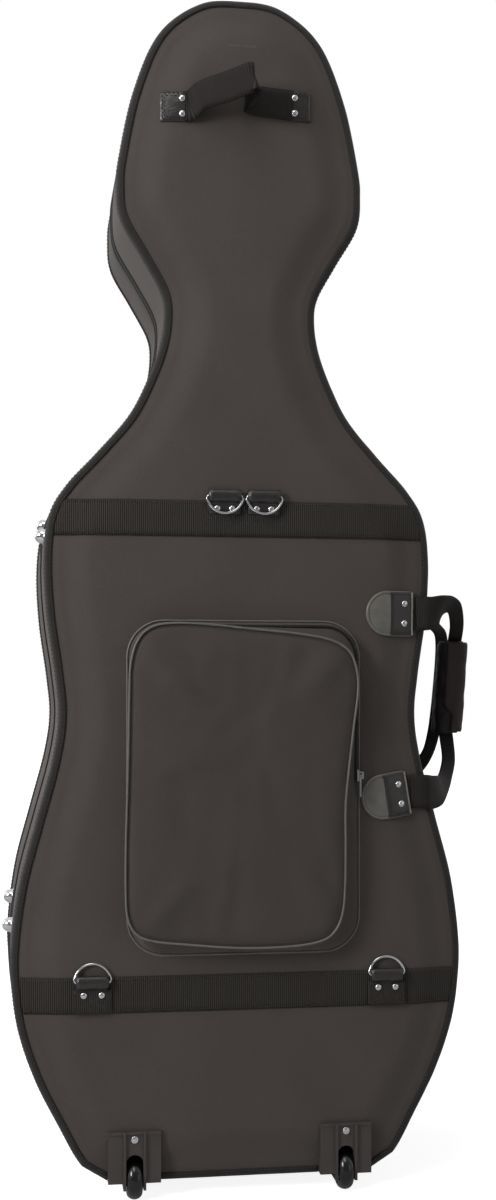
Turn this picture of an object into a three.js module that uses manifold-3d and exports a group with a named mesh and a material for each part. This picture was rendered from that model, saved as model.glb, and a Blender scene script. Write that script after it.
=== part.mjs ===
import * as THREE from 'three';
import { mergeVertices } from 'three/addons/utils/BufferGeometryUtils.js';
import Module from 'manifold-3d';

// A hard case for a cello, standing upright on its wheels, with its back panel to the front (-Y).
// Millimetres, +Z up, +X towards the side handle, +Y from the back panel to the lid.

// Case body
const caseHeight = 1308;
const lowerBoutWidth = 502;
const baseHeight = 20;
const backDepth = 122;
const lidDepthBase = 123;
const lidDepthTop = 84;
const backRise = 9;
const lidRise = 30;
const shellWall = 12;
const linerThickness = 6;
const edgeRound = 5;
const marginInset = 14;
const marginRise = 1.5;
const lidMarginRise = 3;
const fieldInset = 54;
const backFlare = 4;
const lidFlare = 8;
const normalBlend = 47;

// Clearances
const seatGap = 0.3;
const partingGap = 0.6;
const runGap = 0.35;
const footGap = 0.5;
const overrun = 20;

// Edge tape, bands and zip tape
const bindingThickness = 1.4;
const bindingWidth = 11;
const bindingWrap = 8;
const bandWidth = 40;
const bandThickness = 1.6;
const zipTapeWidth = 15;
const zipTapeThickness = 1.4;

// Rivets and stitched tabs
const rivetHeadRadius = 3.8;
const rivetHeadHeight = 2.2;
const rivetStemRadius = 1.6;
const rivetPlateThickness = 1;
const rivetPlateWidth = 8;
const tabThickness = 2;

// D-rings in their folded tabs
const ringRadius = 20;
const ringWire = 1.75;
const ringCornerSetback = 3.5;
const ringRestTilt = THREE.MathUtils.degToRad(10);
const ringTabWidth = 32;
const ringRollRadius = 4.2;
const ringTailLength = 20;
const ringRivetDrop = 14;
const ringRivetSpacing = 16.5;
const upperRingOffset = 22;
const upperRingCentre = 3;
const upperRingRaise = 25;
const lowerRingInset = 87;
const lowerRingRaise = 15;

// Neck handle
const neckHandleWidth = 33;
const neckHandleThickness = 2.6;
const neckHandleCentre = -3;
const neckTabInner = 53.2;
const neckTabStep = 7.5;
const neckTabWidthLeft = 33.3;
const neckTabWidthRight = 27.2;
const neckTabHeight = 33;
const neckRivetInset = 9.5;
const neckRivetSpacing = 17;
const neckHandleLift = 38;
const neckHandleRaise = 24;

// Side handle
const handleTabStraight = 28.5;
const handleTabHeight = 51;
const handleTabThickness = 3;
const upperTabInset = 17.2;
const lowerTabInset = 26.9;
const upperTabRaise = 82;
const lowerTabDrop = 120;
const lowerTabTilt = THREE.MathUtils.degToRad(8.7);
const handleRivetInset = 10;
const handleRivetSpacing = 22;
const handleStrapWidth = 38;
const handleStrapFolded = 18;
const handleStrapThickness = 3;
const gripLength = 113;
const gripWidth = 35;
const gripDepth = 30;
const gripRound = 12;
const gripStand = 68.7;
const gripTilt = THREE.MathUtils.degToRad(3.9);
const gripFromParting = 14;
const strapRootGap = 5.5;

// Music pocket
const pocketWidth = 258;
const pocketHeight = 367;
const pocketCentre = 3.5;
const pocketDepth = 22;
const pocketTaper = 7;
const pocketRound = 40;
const pocketWall = 2;
const pocketCrown = 4;
const pocketFieldInset = 70;

// Zip sliders and pulls
const sliderLength = 13;
const sliderWidth = 9;
const sliderBase = 2.4;
const bridgeWidth = 3.6;
const bridgeLength = 8;
const bridgeTop = 2;
const tunnelHeight = 2.6;
const pinRadius = 0.9;
const armThickness = 1.3;
const pullLength = 24;
const pullWidth = 8;
const pullThickness = 1.6;
const pocketSliderRaise = 13;
const mainSliderShare = 0.185;

// Wheels and their brackets
const wheelRadius = 22;
const wheelWidth = 15.4;
const wheelInset = 27;
const wheelCrown = 7;
const hubRadius = 13;
const hubWidth = 17;
const webRecess = 1.6;
const axleRadius = 3;
const axleHeadRadius = 5;
const axleHeadLength = 0.2;
const bracketWidth = 58;
const bracketHeight = 57;
const bracketProud = 3;
const bracketRib = 3;
const cheekThickness = 3;
const cheekGap = 19;
const cheekDrop = 7;
const slotHeight = 31.5;
const archGap = 2;
const recessClearance = 2;
const bossWall = 8;
const screwHeadRadius = 4.2;
const screwHeadHeight = 2.2;
const screwShankRadius = 1.8;
const screwShankLength = 9;
const screwDrop = 9;

// Dome feet
const footRadius = 8.5;
const footTipRadius = 2.5;
const footShankRadius = 2.4;
const footShankLength = 8;
const footRise = 10.7;
const footSpread = 40;
const standFootInset = 35;
const standFootDepth = 72;

// Fittings inside
const cradleWidth = 130;
const cradleLength = 70;
const cradleDepth = 66;
const neckGrooveRadius = 30;
const neckStrapWidth = 38;
const neckStrapThickness = 2.5;
const endBlockWidth = 240;
const endBlockHeight = 52;
const endBlockDepth = 92;
const endNotchWidth = 34;
const endNotchDepth = 30;
const bowClipReach = 52;
const bowClipWidth = 14;
const bowClipThickness = 5;
const bowClipStand = 9;
const bowClipPinRadius = 4;
const bowClipInset = 133;

// Facet counts
const rodSides = 10;
const turnSegments = 14;
const wheelSegments = 24;
const strapSteps = 3;
const ringSides = 6;
const ringArcSteps = 11;
const shapeSteps = 4;
const crownSteps = 6;

const halfWidth = lowerBoutWidth / 2;
const caseTop = baseHeight + caseHeight;

// Right half of the outline from the top of the head down to the bottom corner:
// half width as a share of the lower bout's, height as a share of the case's, facets to the next point.
const outlineShares = [
  [0.000, 1.0000, 2],
  [0.179, 0.9954, 2],
  [0.355, 0.9687, 2],
  [0.466, 0.9197, 2],
  [0.530, 0.8639, 1],
  [0.542, 0.8394, 1],
  [0.526, 0.8119, 2],
  [0.430, 0.7798, 2],
  [0.347, 0.7508, 1],
  [0.331, 0.7301, 1],
  [0.351, 0.7034, 1],
  [0.410, 0.6728, 1],
  [0.490, 0.6437, 2],
  [0.629, 0.6124, 1],
  [0.757, 0.5856, 2],
  [0.833, 0.5604, 2],
  [0.857, 0.5237, 1],
  [0.845, 0.4778, 1],
  [0.809, 0.4281, 1],
  [0.793, 0.3914, 1],
  [0.821, 0.3532, 1],
  [0.892, 0.3020, 1],
  [0.960, 0.2523, 2],
  [0.996, 0.2034, 1],
  [0.998, 0.1697, 1],
  [0.968, 0.1284, 1],
  [0.896, 0.0872, 1],
  [0.801, 0.0505, 2],
  [0.693, 0.0138, 1],
];
const bottomCornerShare = 0.578;

// Heights of what is sewn or fastened to the case, as shares of the case's height above its base
const upperBandShare = 0.5581;
const lowerBandShare = 0.1583;
const neckHandleShare = 0.9046;
const gripShare = 0.4167;
const pocketShare = 0.3310;
const backFootShares = [0.5482, 0.2080];
const lidFootShares = [0.5635, 0.2248];
const cradleShare = 0.6835;
const bowClipShare = 0.3127;
const heightAt = (share) => baseHeight + share * caseHeight;
const upperBandHeight = heightAt(upperBandShare);
const lowerBandHeight = heightAt(lowerBandShare);
const neckHandleHeight = heightAt(neckHandleShare);
const gripHeight = heightAt(gripShare);
const pocketCentreHeight = heightAt(pocketShare);
const cradleHeight = heightAt(cradleShare);
const bowClipHeight = heightAt(bowClipShare);
const lowerRingOffset = halfWidth - lowerRingInset;
const bowClipOffset = halfWidth - bowClipInset;
const wheelOffset = bottomCornerShare * halfWidth - wheelInset;
const standFootOffset = bottomCornerShare * halfWidth - standFootInset;

// The shells grow towards the lid between the flat bottom and the neck; these heights bound the two fades.
const flareFootShare = 0.08;
const flareStartShare = 0.60;
const flareEndShare = 0.68;

// Turns of the side handle straps between the panel edge and the grip, as shares of the way,
// and the straight run past each end of the grip as a share of half its length.
const handleTurnShares = {
  along: 0.5,
  across: 0.76,
  upperDrop: -0.2,
  lowerDrop: 0.2,
  folded: 0.8,
  beyond: 1.12,
};

// Neck handle loop: it rises from the left tab, folds back at its peak and runs flat to the right tab.
// Stations as shares: across of half the free span, out of the lift, up of the raise, and lean.
const neckLoopShares = [
  [-1, 0, 0, 0],
  [-0.92, 0.03, 0, 0],
  [-0.66, 0.24, 0.40, 0],
  [-0.25, 0.68, 0.72, 0],
  [0.15, 1, 1, -0.36],
  [0.30, 0.50, 0.56, -0.36],
  [0.44, 0.08, 0.12, 0],
  [0.70, 0, 0, 0],
  [1, 0, 0, 0],
];
const neckClimbShares = [-0.92, 0.44];

const wasm = await Module();
wasm.setup();

function solidOf(geometry) {
  const bare = geometry.clone();
  bare.deleteAttribute('normal');
  bare.deleteAttribute('uv');
  const merged = mergeVertices(bare);
  return new wasm.Manifold(new wasm.Mesh({
    numProp: 3,
    vertProperties: new Float32Array(merged.attributes.position.array),
    triVerts: new Uint32Array(merged.index.array),
  }));
}

function geometryOf(solid) {
  const { vertProperties, triVerts } = solid.getMesh();
  const geometry = new THREE.BufferGeometry();
  geometry.setAttribute('position', new THREE.BufferAttribute(vertProperties, 3));
  geometry.setIndex(new THREE.BufferAttribute(triVerts, 1));
  return geometry;
}

function union(solids) {
  return solids.reduce((sum, solid) => sum.add(solid));
}

// A closed body through rings of points; fan caps suit convex rings.
function loft(rings, capOf = fanCap) {
  const count = rings[0].length;
  const positions = rings.flat().flatMap((p) => [p.x, p.y, p.z]);
  const index = [];
  for (let r = 0; r < rings.length - 1; r += 1) {
    for (let i = 0; i < count; i += 1) {
      const a = r * count + i;
      const b = r * count + ((i + 1) % count);
      index.push(a, b, b + count, a, b + count, a + count);
    }
  }
  const last = (rings.length - 1) * count;
  for (const [a, b, c] of capOf(count)) {
    index.push(a, c, b, last + a, last + b, last + c);
  }
  const geometry = new THREE.BufferGeometry();
  geometry.setAttribute('position', new THREE.Float32BufferAttribute(positions, 3));
  geometry.setIndex(index);
  return facingOut(geometry);
}

// A closed hoop round the case, through rings that run round its section.
function hoop(rings) {
  const count = rings[0].length;
  const positions = rings.flat().flatMap((p) => [p.x, p.y, p.z]);
  const index = [];
  rings.forEach((unused, r) => {
    const next = (r + 1) % rings.length;
    for (let i = 0; i < count; i += 1) {
      const j = (i + 1) % count;
      const [a, b, c, d] = [r * count + i, r * count + j, next * count + j, next * count + i];
      index.push(a, b, c, a, c, d);
    }
  });
  const geometry = new THREE.BufferGeometry();
  geometry.setAttribute('position', new THREE.Float32BufferAttribute(positions, 3));
  geometry.setIndex(index);
  return facingOut(geometry);
}

function fanCap(count) {
  return Array.from({ length: count - 2 }, (unused, i) => [0, i + 1, i + 2]);
}

// The outline is its own mirror image, so its cap is a ladder of strips from side to side.
function ladderCap(count) {
  const triangles = [[0, 1, count - 1]];
  for (let right = 1; right + 1 < count - right; right += 1) {
    const left = count - right;
    triangles.push([right, right + 1, left]);
    if (right + 1 < left - 1) {
      triangles.push([right + 1, left - 1, left]);
    }
  }
  return triangles;
}

function facingOut(geometry) {
  const p = geometry.attributes.position;
  const index = geometry.index.array;
  const corner = (i) => new THREE.Vector3().fromBufferAttribute(p, index[i]);
  let volume = 0;
  for (let i = 0; i < index.length; i += 3) {
    volume += corner(i).dot(corner(i + 1).cross(corner(i + 2)));
  }
  if (volume < 0) {
    for (let i = 0; i < index.length; i += 3) {
      [index[i + 1], index[i + 2]] = [index[i + 2], index[i + 1]];
    }
  }
  return geometry;
}

function block(low, high) {
  const size = high.map((value, i) => value - low[i]);
  const middle = high.map((value, i) => (value + low[i]) / 2);
  return solidOf(new THREE.BoxGeometry(...size).translate(...middle));
}

// Turns +Y onto a direction and moves the origin to a point.
function aimed(geometry, origin, direction) {
  const up = new THREE.Vector3(0, 1, 0);
  const turn = new THREE.Quaternion().setFromUnitVectors(up, direction.clone().normalize());
  return geometry.applyQuaternion(turn).translate(origin.x, origin.y, origin.z);
}

function rod(radius, from, to) {
  const along = to.clone().sub(from);
  const geometry = new THREE.CylinderGeometry(radius, radius, along.length(), rodSides);
  geometry.translate(0, along.length() / 2, 0);
  return solidOf(aimed(geometry, from, along));
}

// A shape drawn in X and Z, pushed along Y.
function prism(shape, yLow, yHigh) {
  const depth = yHigh - yLow;
  const options = { depth, bevelEnabled: false, curveSegments: shapeSteps };
  const geometry = new THREE.ExtrudeGeometry(shape, options);
  return solidOf(geometry.rotateX(Math.PI / 2).translate(0, yHigh, 0));
}

function rectangle(x, z, width, height) {
  const shape = new THREE.Shape();
  shape.moveTo(x - width / 2, z - height / 2);
  shape.lineTo(x + width / 2, z - height / 2);
  shape.lineTo(x + width / 2, z + height / 2);
  shape.lineTo(x - width / 2, z + height / 2);
  return shape;
}

// Outline of the case, as one closed run of points: top, right side, bottom corners, left side.
function outlinePoints() {
  const keys = outlineShares.map(([w, h]) => new THREE.Vector2(w * halfWidth, baseHeight + h * caseHeight));
  const before = new THREE.Vector2(-keys[1].x, keys[1].y);
  const spline = new THREE.SplineCurve([before, ...keys]);
  const right = [];
  outlineShares.slice(0, -1).forEach(([, , steps], i) => {
    for (let k = 0; k < steps; k += 1) {
      right.push(spline.getPoint((i + 1 + k / steps) / keys.length));
    }
  });
  right[0].x = 0;
  right.push(keys.at(-1));
  right.push(new THREE.Vector2(bottomCornerShare * halfWidth, baseHeight));
  const left = right.slice(1).reverse().map((p) => new THREE.Vector2(-p.x, p.y));
  return [...right, ...left];
}

// Each outline point with its inward direction, sharp for small steps and blended for large ones.
function outlineFrames(points) {
  const count = points.length;
  const edges = points.map((p, i) => {
    const step = points[(i + 1) % count].clone().sub(p);
    const length = step.length();
    return { length, inward: new THREE.Vector2(step.y, -step.x).divideScalar(length) };
  });
  const starts = [];
  let run = 0;
  for (const edge of edges) {
    starts.push(run);
    run += edge.length;
  }
  return points.map((p, i) => {
    const sharp = edges[i].inward.clone().add(edges[(i + count - 1) % count].inward).normalize();
    const blended = new THREE.Vector2();
    edges.forEach((edge, k) => {
      const apart = Math.abs(starts[k] + edge.length / 2 - starts[i]);
      const along = Math.min(apart, run - apart) / normalBlend;
      blended.addScaledVector(edge.inward, edge.length * Math.exp(-along * along / 2));
    });
    return { x: p.x, z: p.y, sharp, blended: blended.normalize() };
  });
}

const outline = outlineFrames(outlinePoints());

function flareAt(z) {
  const share = (z - baseHeight) / caseHeight;
  const foot = THREE.MathUtils.smoothstep(share, 0, flareFootShare);
  return foot * (1 - THREE.MathUtils.smoothstep(share, flareStartShare, flareEndShare));
}

function insetPoint(frame, inset) {
  const near = Math.min(inset, marginInset);
  const far = Math.max(0, inset - marginInset);
  return {
    x: frame.x + frame.sharp.x * near + frame.blended.x * far,
    z: frame.z + frame.sharp.y * near + frame.blended.y * far,
  };
}

function ring(insetOf, depthOf) {
  return outline.map((frame) => {
    const { x, z } = insetPoint(frame, insetOf(frame));
    return new THREE.Vector3(x, depthOf(z), z);
  });
}

function outlinePrism(inset, yLow, yHigh) {
  return solidOf(loft([ring(() => inset, () => yLow), ring(() => inset, () => yHigh)], ladderCap));
}

// Inset of the side walls at a depth: they lean out from the panel edges towards the lid.
function backWall(depth, grow) {
  const share = (depth - edgeRound) / (backDepth - edgeRound);
  return (frame) => -grow - backFlare * share * flareAt(frame.z);
}

function lidWall(depthOf, grow) {
  return (frame) => {
    const share = (depthOf(frame.z) - backDepth) / (lidEdge(frame.z) - edgeRound - backDepth);
    return -grow - THREE.MathUtils.lerp(backFlare, lidFlare, share) * flareAt(frame.z);
  };
}

// Outer form of the back shell, grown by a distance; its open side ends at the given depth.
function backForm(grow, openDepth = backDepth) {
  return solidOf(loft([
    ring(backWall(openDepth, grow), () => openDepth),
    ring(backWall(edgeRound - grow, grow), () => edgeRound - grow),
    ring(() => edgeRound - grow, () => -grow),
    ring(() => marginInset - grow, () => -marginRise - grow),
    ring(() => fieldInset - grow, () => -backRise - grow),
  ], ladderCap));
}

// Depth of the lid's panel edge, which runs closer to the parting plane towards the head.
function lidEdge(z) {
  const share = (z - baseHeight) / caseHeight;
  return backDepth + THREE.MathUtils.lerp(lidDepthBase, lidDepthTop, share);
}

function lidForm(grow, openDepth = backDepth) {
  const shoulder = (z) => lidEdge(z) - edgeRound + grow;
  const front = (inset) => (frame) => inset - lidFlare * flareAt(frame.z) - grow;
  return solidOf(loft([
    ring(lidWall(() => openDepth, grow), () => openDepth),
    ring(lidWall(shoulder, grow), shoulder),
    ring(front(edgeRound), (z) => lidEdge(z) + grow),
    ring(front(marginInset), (z) => lidEdge(z) + lidMarginRise + grow),
    ring(() => fieldInset - grow, (z) => lidEdge(z) + lidRise + grow),
  ], ladderCap));
}

// A layer lying on a shell between two distances from it.
function backLayer(from, to) {
  return backForm(to).subtract(backForm(from, backDepth + overrun));
}

function lidLayer(from, to) {
  return lidForm(to).subtract(lidForm(from, backDepth - overrun));
}

// A place on the side wall at a height: where it is, which way is out, and which way runs up along the edge.
function wallPlace(side, z, flare, grow) {
  const k = outline.findIndex((frame, i) => frame.x > 0 && outline[i + 1].z <= z && frame.z > z);
  const around = [outline[k], outline[k + 1]];
  const ends = around.map((frame) => insetPoint(frame, -flare * flareAt(frame.z) - grow));
  const share = (ends[0].z - z) / (ends[0].z - ends[1].z);
  const x = THREE.MathUtils.lerp(ends[0].x, ends[1].x, share);
  const up = new THREE.Vector3(side * (ends[0].x - ends[1].x), 0, ends[0].z - ends[1].z).normalize();
  const out = new THREE.Vector3(side * up.z, 0, -side * up.x);
  return { x: side * x, z, up, out };
}

const celloCase = new THREE.Group();

function add(name, geometry, finish, parent = celloCase) {
  const mesh = new THREE.Mesh(geometry, finish);
  mesh.name = name;
  parent.add(mesh);
  return mesh;
}

function material(color, roughness, metalness = 0) {
  return new THREE.MeshStandardMaterial({ color, roughness, metalness });
}

const nylon = material('#4a4543', 0.85);
const velour = material('#33302f', 0.95);
const edgeTape = material('#2b2725', 0.8);
const webbing = material('#373634', 0.85);
const zipTape = material('#1f1d1c', 0.8);
const leatherette = material('#3b3836', 0.5);
const pocketCloth = material('#403c39', 0.85);
const wrapCloth = material('#312b2c', 0.8);
const chrome = material('#c9cacb', 0.15, 1);
const blackMetal = material('#3c3b3a', 0.4, 0.8);
const mouldedPlastic = material('#45423f', 0.55);
const tyreRubber = material('#1c1c1b', 0.35);
const foam = material('#2a2827', 0.95);

// Wheel wells
const wellHalfWidth = cheekGap / 2 + cheekThickness + footGap;
const wellDepth = wheelRadius + recessClearance;
const slotTop = baseHeight + slotHeight;
const wellTop = slotTop + recessClearance;
const wheelSides = [-1, 1];

function wheelBoss(side, clearance) {
  const half = wellHalfWidth + bossWall + clearance;
  const x = side * wheelOffset;
  const low = [x - half, edgeRound, baseHeight + edgeRound];
  return block(low, [x + half, wellDepth + bossWall + clearance, wellTop + bossWall + clearance]);
}

function wheelWell(side) {
  const x = side * wheelOffset;
  const low = [x - wellHalfWidth, -overrun, -overrun];
  return block(low, [x + wellHalfWidth, wellDepth, wellTop]);
}

const screwHeight = baseHeight + bracketHeight - screwDrop;
const bracketFace = -backRise - bracketProud;

function screwHole(side, radius) {
  const x = side * wheelOffset;
  const start = new THREE.Vector3(x, bracketFace - overrun, screwHeight);
  return rod(radius, start, new THREE.Vector3(x, bracketFace + screwShankLength + runGap, screwHeight));
}

// Dome feet on the left wall and under the lid
const standFootRise = baseHeight - seatGap;
const backFootDepth = backDepth - footSpread;
const lidFootDepth = backDepth + footSpread;

function flareAtDepth(depth) {
  const back = THREE.MathUtils.mapLinear(depth, edgeRound, backDepth, 0, backFlare);
  const front = THREE.MathUtils.mapLinear(depth, backDepth, backDepth + lidDepthBase, backFlare, lidFlare);
  return depth < backDepth ? back : front;
}

function sideFoot(z, depth) {
  const { x, out } = wallPlace(-1, z, flareAtDepth(depth), footGap);
  const lean = backFlare / (backDepth - edgeRound);
  const seat = new THREE.Vector3(x, depth, z);
  return { seat, out: out.setY(-lean).normalize(), rise: footRise };
}

function standFoot(side) {
  const depth = backDepth + standFootDepth;
  const seat = new THREE.Vector3(side * standFootOffset, depth, standFootRise);
  return { seat, out: new THREE.Vector3(0, 0, -1), rise: standFootRise };
}

function footGeometry({ seat, out, rise }) {
  const profile = [new THREE.Vector2(0, -footShankLength)];
  profile.push(new THREE.Vector2(footShankRadius, -footShankLength));
  profile.push(new THREE.Vector2(footShankRadius, 0), new THREE.Vector2(footRadius, 0));
  for (let k = 1; k < shapeSteps; k += 1) {
    const angle = (k / shapeSteps) * (Math.PI / 2);
    const radius = footTipRadius + (footRadius - footTipRadius) * Math.cos(angle);
    profile.push(new THREE.Vector2(radius, rise * Math.sin(angle)));
  }
  profile.push(new THREE.Vector2(footTipRadius, rise), new THREE.Vector2(0, rise));
  return aimed(new THREE.LatheGeometry(profile, turnSegments), seat, out);
}

function footHole({ seat, out }) {
  const reach = footShankLength + footGap + runGap;
  const start = seat.clone().addScaledVector(out, overrun);
  return rod(footShankRadius + runGap, start, seat.clone().addScaledVector(out, -reach));
}

const backFeet = backFootShares.map((share) => sideFoot(heightAt(share), backFootDepth));
const lidFeet = lidFootShares.map((share) => sideFoot(heightAt(share), lidFootDepth));
const standFeet = wheelSides.map(standFoot);

// Shells and liners
function addShells() {
  const half = partingGap / 2;
  let back = backForm(0, backDepth - half).subtract(backForm(-shellWall, backDepth + overrun));
  for (const side of wheelSides) {
    back = back.add(wheelBoss(side, 0).intersect(backForm(-seatGap, backDepth - half)));
    back = back.subtract(wheelWell(side)).subtract(screwHole(side, screwShankRadius + runGap));
  }
  backFeet.forEach((foot) => {
    back = back.subtract(footHole(foot));
  });
  add('back_shell', geometryOf(back), nylon);

  const linerOuter = -shellWall - seatGap;
  const linerInner = linerOuter - linerThickness;
  let liner = backForm(linerOuter, backDepth - half).subtract(backForm(linerInner, backDepth + overrun));
  wheelSides.forEach((side) => {
    liner = liner.subtract(wheelBoss(side, seatGap));
  });
  add('back_liner', geometryOf(liner), velour);

  let lid = lidForm(0, backDepth + half).subtract(lidForm(-shellWall, backDepth - overrun));
  [...lidFeet, ...standFeet].forEach((foot) => {
    lid = lid.subtract(footHole(foot));
  });
  add('lid_shell', geometryOf(lid), nylon);
  const lidLiner = lidForm(linerOuter, backDepth + half);
  add('lid_liner', geometryOf(lidLiner.subtract(lidForm(linerInner, backDepth - overrun))), velour);
}

// Edge tape round each panel
const bindingTop = seatGap + bindingThickness;

function edgeHoop(lineOf) {
  return hoop([...lineOf(bindingTop), ...lineOf(seatGap).reverse()]);
}

// How far the margin beside the edge tape stands out, for a line grown by a distance.
function tapeEdgeRise(grow, rise) {
  return rise * (bindingWidth + grow - edgeRound) / (marginInset - edgeRound) + grow;
}

function addBindings() {
  const backLine = (grow) => [
    ring(backWall(bindingWrap, grow), () => bindingWrap),
    ring(backWall(edgeRound - grow, grow), () => edgeRound - grow),
    ring(() => edgeRound - grow, () => -grow),
    ring(() => bindingWidth, () => -tapeEdgeRise(grow, marginRise)),
  ];
  const brackets = wheelSides.map((side) => {
    const reach = bracketWidth / 2 + footGap;
    const x = side * wheelOffset;
    return block([x - reach, -overrun, -overrun], [x + reach, overrun, baseHeight + bracketHeight]);
  });
  const pieces = solidOf(edgeHoop(backLine)).subtract(union(brackets)).decompose();
  pieces.sort((a, b) => b.volume() - a.volume());
  add('back_binding', geometryOf(pieces[0]), edgeTape);
  add('back_binding_base', geometryOf(pieces[1]), edgeTape);

  const lidLine = (grow) => {
    const wrap = (z) => lidEdge(z) - bindingWrap;
    const shoulder = (z) => lidEdge(z) - edgeRound + grow;
    const front = (inset) => (frame) => inset - lidFlare * flareAt(frame.z);
    return [
      ring(lidWall(wrap, grow), wrap),
      ring(lidWall(shoulder, grow), shoulder),
      ring(front(edgeRound - grow), (z) => lidEdge(z) + grow),
      ring(front(bindingWidth), (z) => lidEdge(z) + tapeEdgeRise(grow, lidMarginRise)),
    ];
  };
  add('lid_binding', edgeHoop(lidLine), edgeTape);
}

// Zip tape on the side wall of each shell; on the left, between the feet, the pair is the cloth hinge.
function addZipTapes() {
  const onTop = seatGap + zipTapeThickness;
  const tape = (wallOf, edge, far) => {
    const line = (grow) => [edge, far].map((depth) => ring(wallOf(depth, grow), () => depth));
    return hoop([...line(onTop), ...line(seatGap).reverse()]);
  };
  const half = partingGap / 2;
  add('back_zip_tape', tape(backWall, backDepth - half, backDepth - zipTapeWidth), zipTape);
  const lidWallAt = (depth, grow) => lidWall(() => depth, grow);
  add('lid_zip_tape', tape(lidWallAt, backDepth + half, backDepth + zipTapeWidth), zipTape);
}

// Webbing bands across the back panel
const bandLevel = seatGap + bandThickness;

function addBands() {
  const layer = backLayer(seatGap, bandLevel);
  const inside = outlinePrism(bindingWidth + footGap, -overrun, overrun);
  const bands = { upper_band: upperBandHeight, lower_band: lowerBandHeight };
  for (const [name, z] of Object.entries(bands)) {
    const strip = block([-halfWidth, -overrun, z - bandWidth / 2], [halfWidth, 0, z + bandWidth / 2]);
    add(name, geometryOf(layer.intersect(inside).intersect(strip)), webbing);
  }
}

// Two rivets on a shared plate that lies between the shell and the tab.
// level is the distance of the plate's underside from the shell; out is the rivets' direction.
function rivetPair(places, out, plateShape, level, gripped) {
  const window = prism(plateShape, -overrun - overrun, 0);
  const plate = backLayer(level, level + rivetPlateThickness).intersect(window);
  const slant = Math.hypot(out.x, out.z) - out.y;
  const headAt = (level + rivetPlateThickness + seatGap + gripped) * slant + seatGap;
  const rivets = places.map((place) => {
    const stemStart = (level + rivetPlateThickness / 2) * slant;
    const profile = [[0, stemStart], [rivetStemRadius, stemStart]];
    profile.push([rivetStemRadius, headAt], [rivetHeadRadius, headAt]);
    for (let k = 1; k < shapeSteps; k += 1) {
      const angle = (k / shapeSteps) * (Math.PI / 2);
      profile.push([rivetHeadRadius * Math.cos(angle), headAt + rivetHeadHeight * Math.sin(angle)]);
    }
    profile.push([0, headAt + rivetHeadHeight]);
    const points = profile.map(([r, h]) => new THREE.Vector2(r, h));
    return solidOf(aimed(new THREE.LatheGeometry(points, rodSides), place, out));
  });
  return geometryOf(union([plate, ...rivets]));
}

function rivetHoles(places, out) {
  return union(places.map((place) => {
    const from = place.clone().addScaledVector(out, -overrun);
    return rod(rivetStemRadius + runGap, from, place.clone().addScaledVector(out, overrun));
  }));
}

const straightOut = new THREE.Vector3(0, -1, 0);
const fieldPoint = (x, z) => new THREE.Vector3(x, -backRise, z);

// A place on the back panel and its outward direction, on the field or on the slope beside it.
function panelPlace(x, z) {
  const wall = wallPlace(x < 0 ? -1 : 1, z, 0, 0);
  const inset = (wall.x - x) * wall.out.x;
  if (inset > fieldInset) {
    return { point: fieldPoint(x, z), normal: straightOut };
  }
  const slope = Math.atan2(backRise - marginRise, fieldInset - marginInset);
  const normal = wall.out.clone().multiplyScalar(Math.sin(slope)).setY(-Math.cos(slope));
  const depth = THREE.MathUtils.mapLinear(inset, marginInset, fieldInset, -marginRise, -backRise);
  return { point: new THREE.Vector3(x, depth, z), normal };
}

// D-rings and their folded tabs on the bands
const ringPlateLevel = bandLevel + seatGap;
const ringTailLevel = ringPlateLevel + rivetPlateThickness + seatGap;
const rollDepth = -backRise - ringPlateLevel - ringRollRadius;

// A ring that stands up leans back until its wire is just clear of the panel.
const ringLean = Math.asin((-backRise - seatGap - ringWire - rollDepth) / (ringRadius + ringWire));

function ringTabGeometry(x, z, places) {
  const tailBack = -backRise - ringTailLevel;
  const left = x - ringTabWidth / 2;
  const right = x + ringTabWidth / 2;
  const tail = block([left, tailBack - tabThickness, z - ringTailLength], [right, tailBack, z]);
  const bar = (radius, past) => rod(
    radius,
    new THREE.Vector3(left - past, rollDepth, z),
    new THREE.Vector3(right + past, rollDepth, z),
  );
  const roll = bar(ringRollRadius, 0);
  const bore = bar(ringWire + runGap, overrun);
  return geometryOf(tail.add(roll).subtract(bore).subtract(rivetHoles(places, straightOut)));
}

// Wire ring: a straight bar and a half round, as a closed tube in the X and Z plane.
function ringGeometry() {
  const barHalf = ringRadius - ringCornerSetback;
  const path = [new THREE.Vector2(-barHalf, 0), new THREE.Vector2(barHalf, 0)];
  const first = Math.asin(ringCornerSetback / ringRadius / 2);
  for (let k = 0; k <= ringArcSteps; k += 1) {
    const angle = THREE.MathUtils.lerp(first, Math.PI - first, k / ringArcSteps);
    path.push(new THREE.Vector2(ringRadius * Math.cos(angle), -ringRadius * Math.sin(angle)));
  }
  const sections = path.map((p, i) => {
    const ahead = path[(i + 1) % path.length].clone().sub(p).normalize();
    const behind = p.clone().sub(path[(i + path.length - 1) % path.length]).normalize();
    const tangent = ahead.add(behind).normalize();
    return Array.from({ length: ringSides }, (unused, k) => {
      const angle = (k / ringSides) * 2 * Math.PI;
      const sideways = ringWire * Math.cos(angle);
      const depth = ringWire * Math.sin(angle);
      return new THREE.Vector3(p.x - tangent.y * sideways, depth, p.y + tangent.x * sideways);
    });
  });
  const positions = sections.flat().flatMap((p) => [p.x, p.y, p.z]);
  const index = [];
  sections.forEach((section, s) => {
    section.forEach((unused, k) => {
      const next = (s + 1) % sections.length;
      const a = s * ringSides + k;
      const b = s * ringSides + ((k + 1) % ringSides);
      const c = next * ringSides + k;
      const d = next * ringSides + ((k + 1) % ringSides);
      index.push(a, b, d, a, d, c);
    });
  });
  const geometry = new THREE.BufferGeometry();
  geometry.setAttribute('position', new THREE.Float32BufferAttribute(positions, 3));
  geometry.setIndex(index);
  return facingOut(geometry);
}

function ringRivetPlaces(x, z) {
  return [-1, 1].map((side) => fieldPoint(x + side * ringRivetSpacing / 2, z - ringRivetDrop));
}

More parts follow.
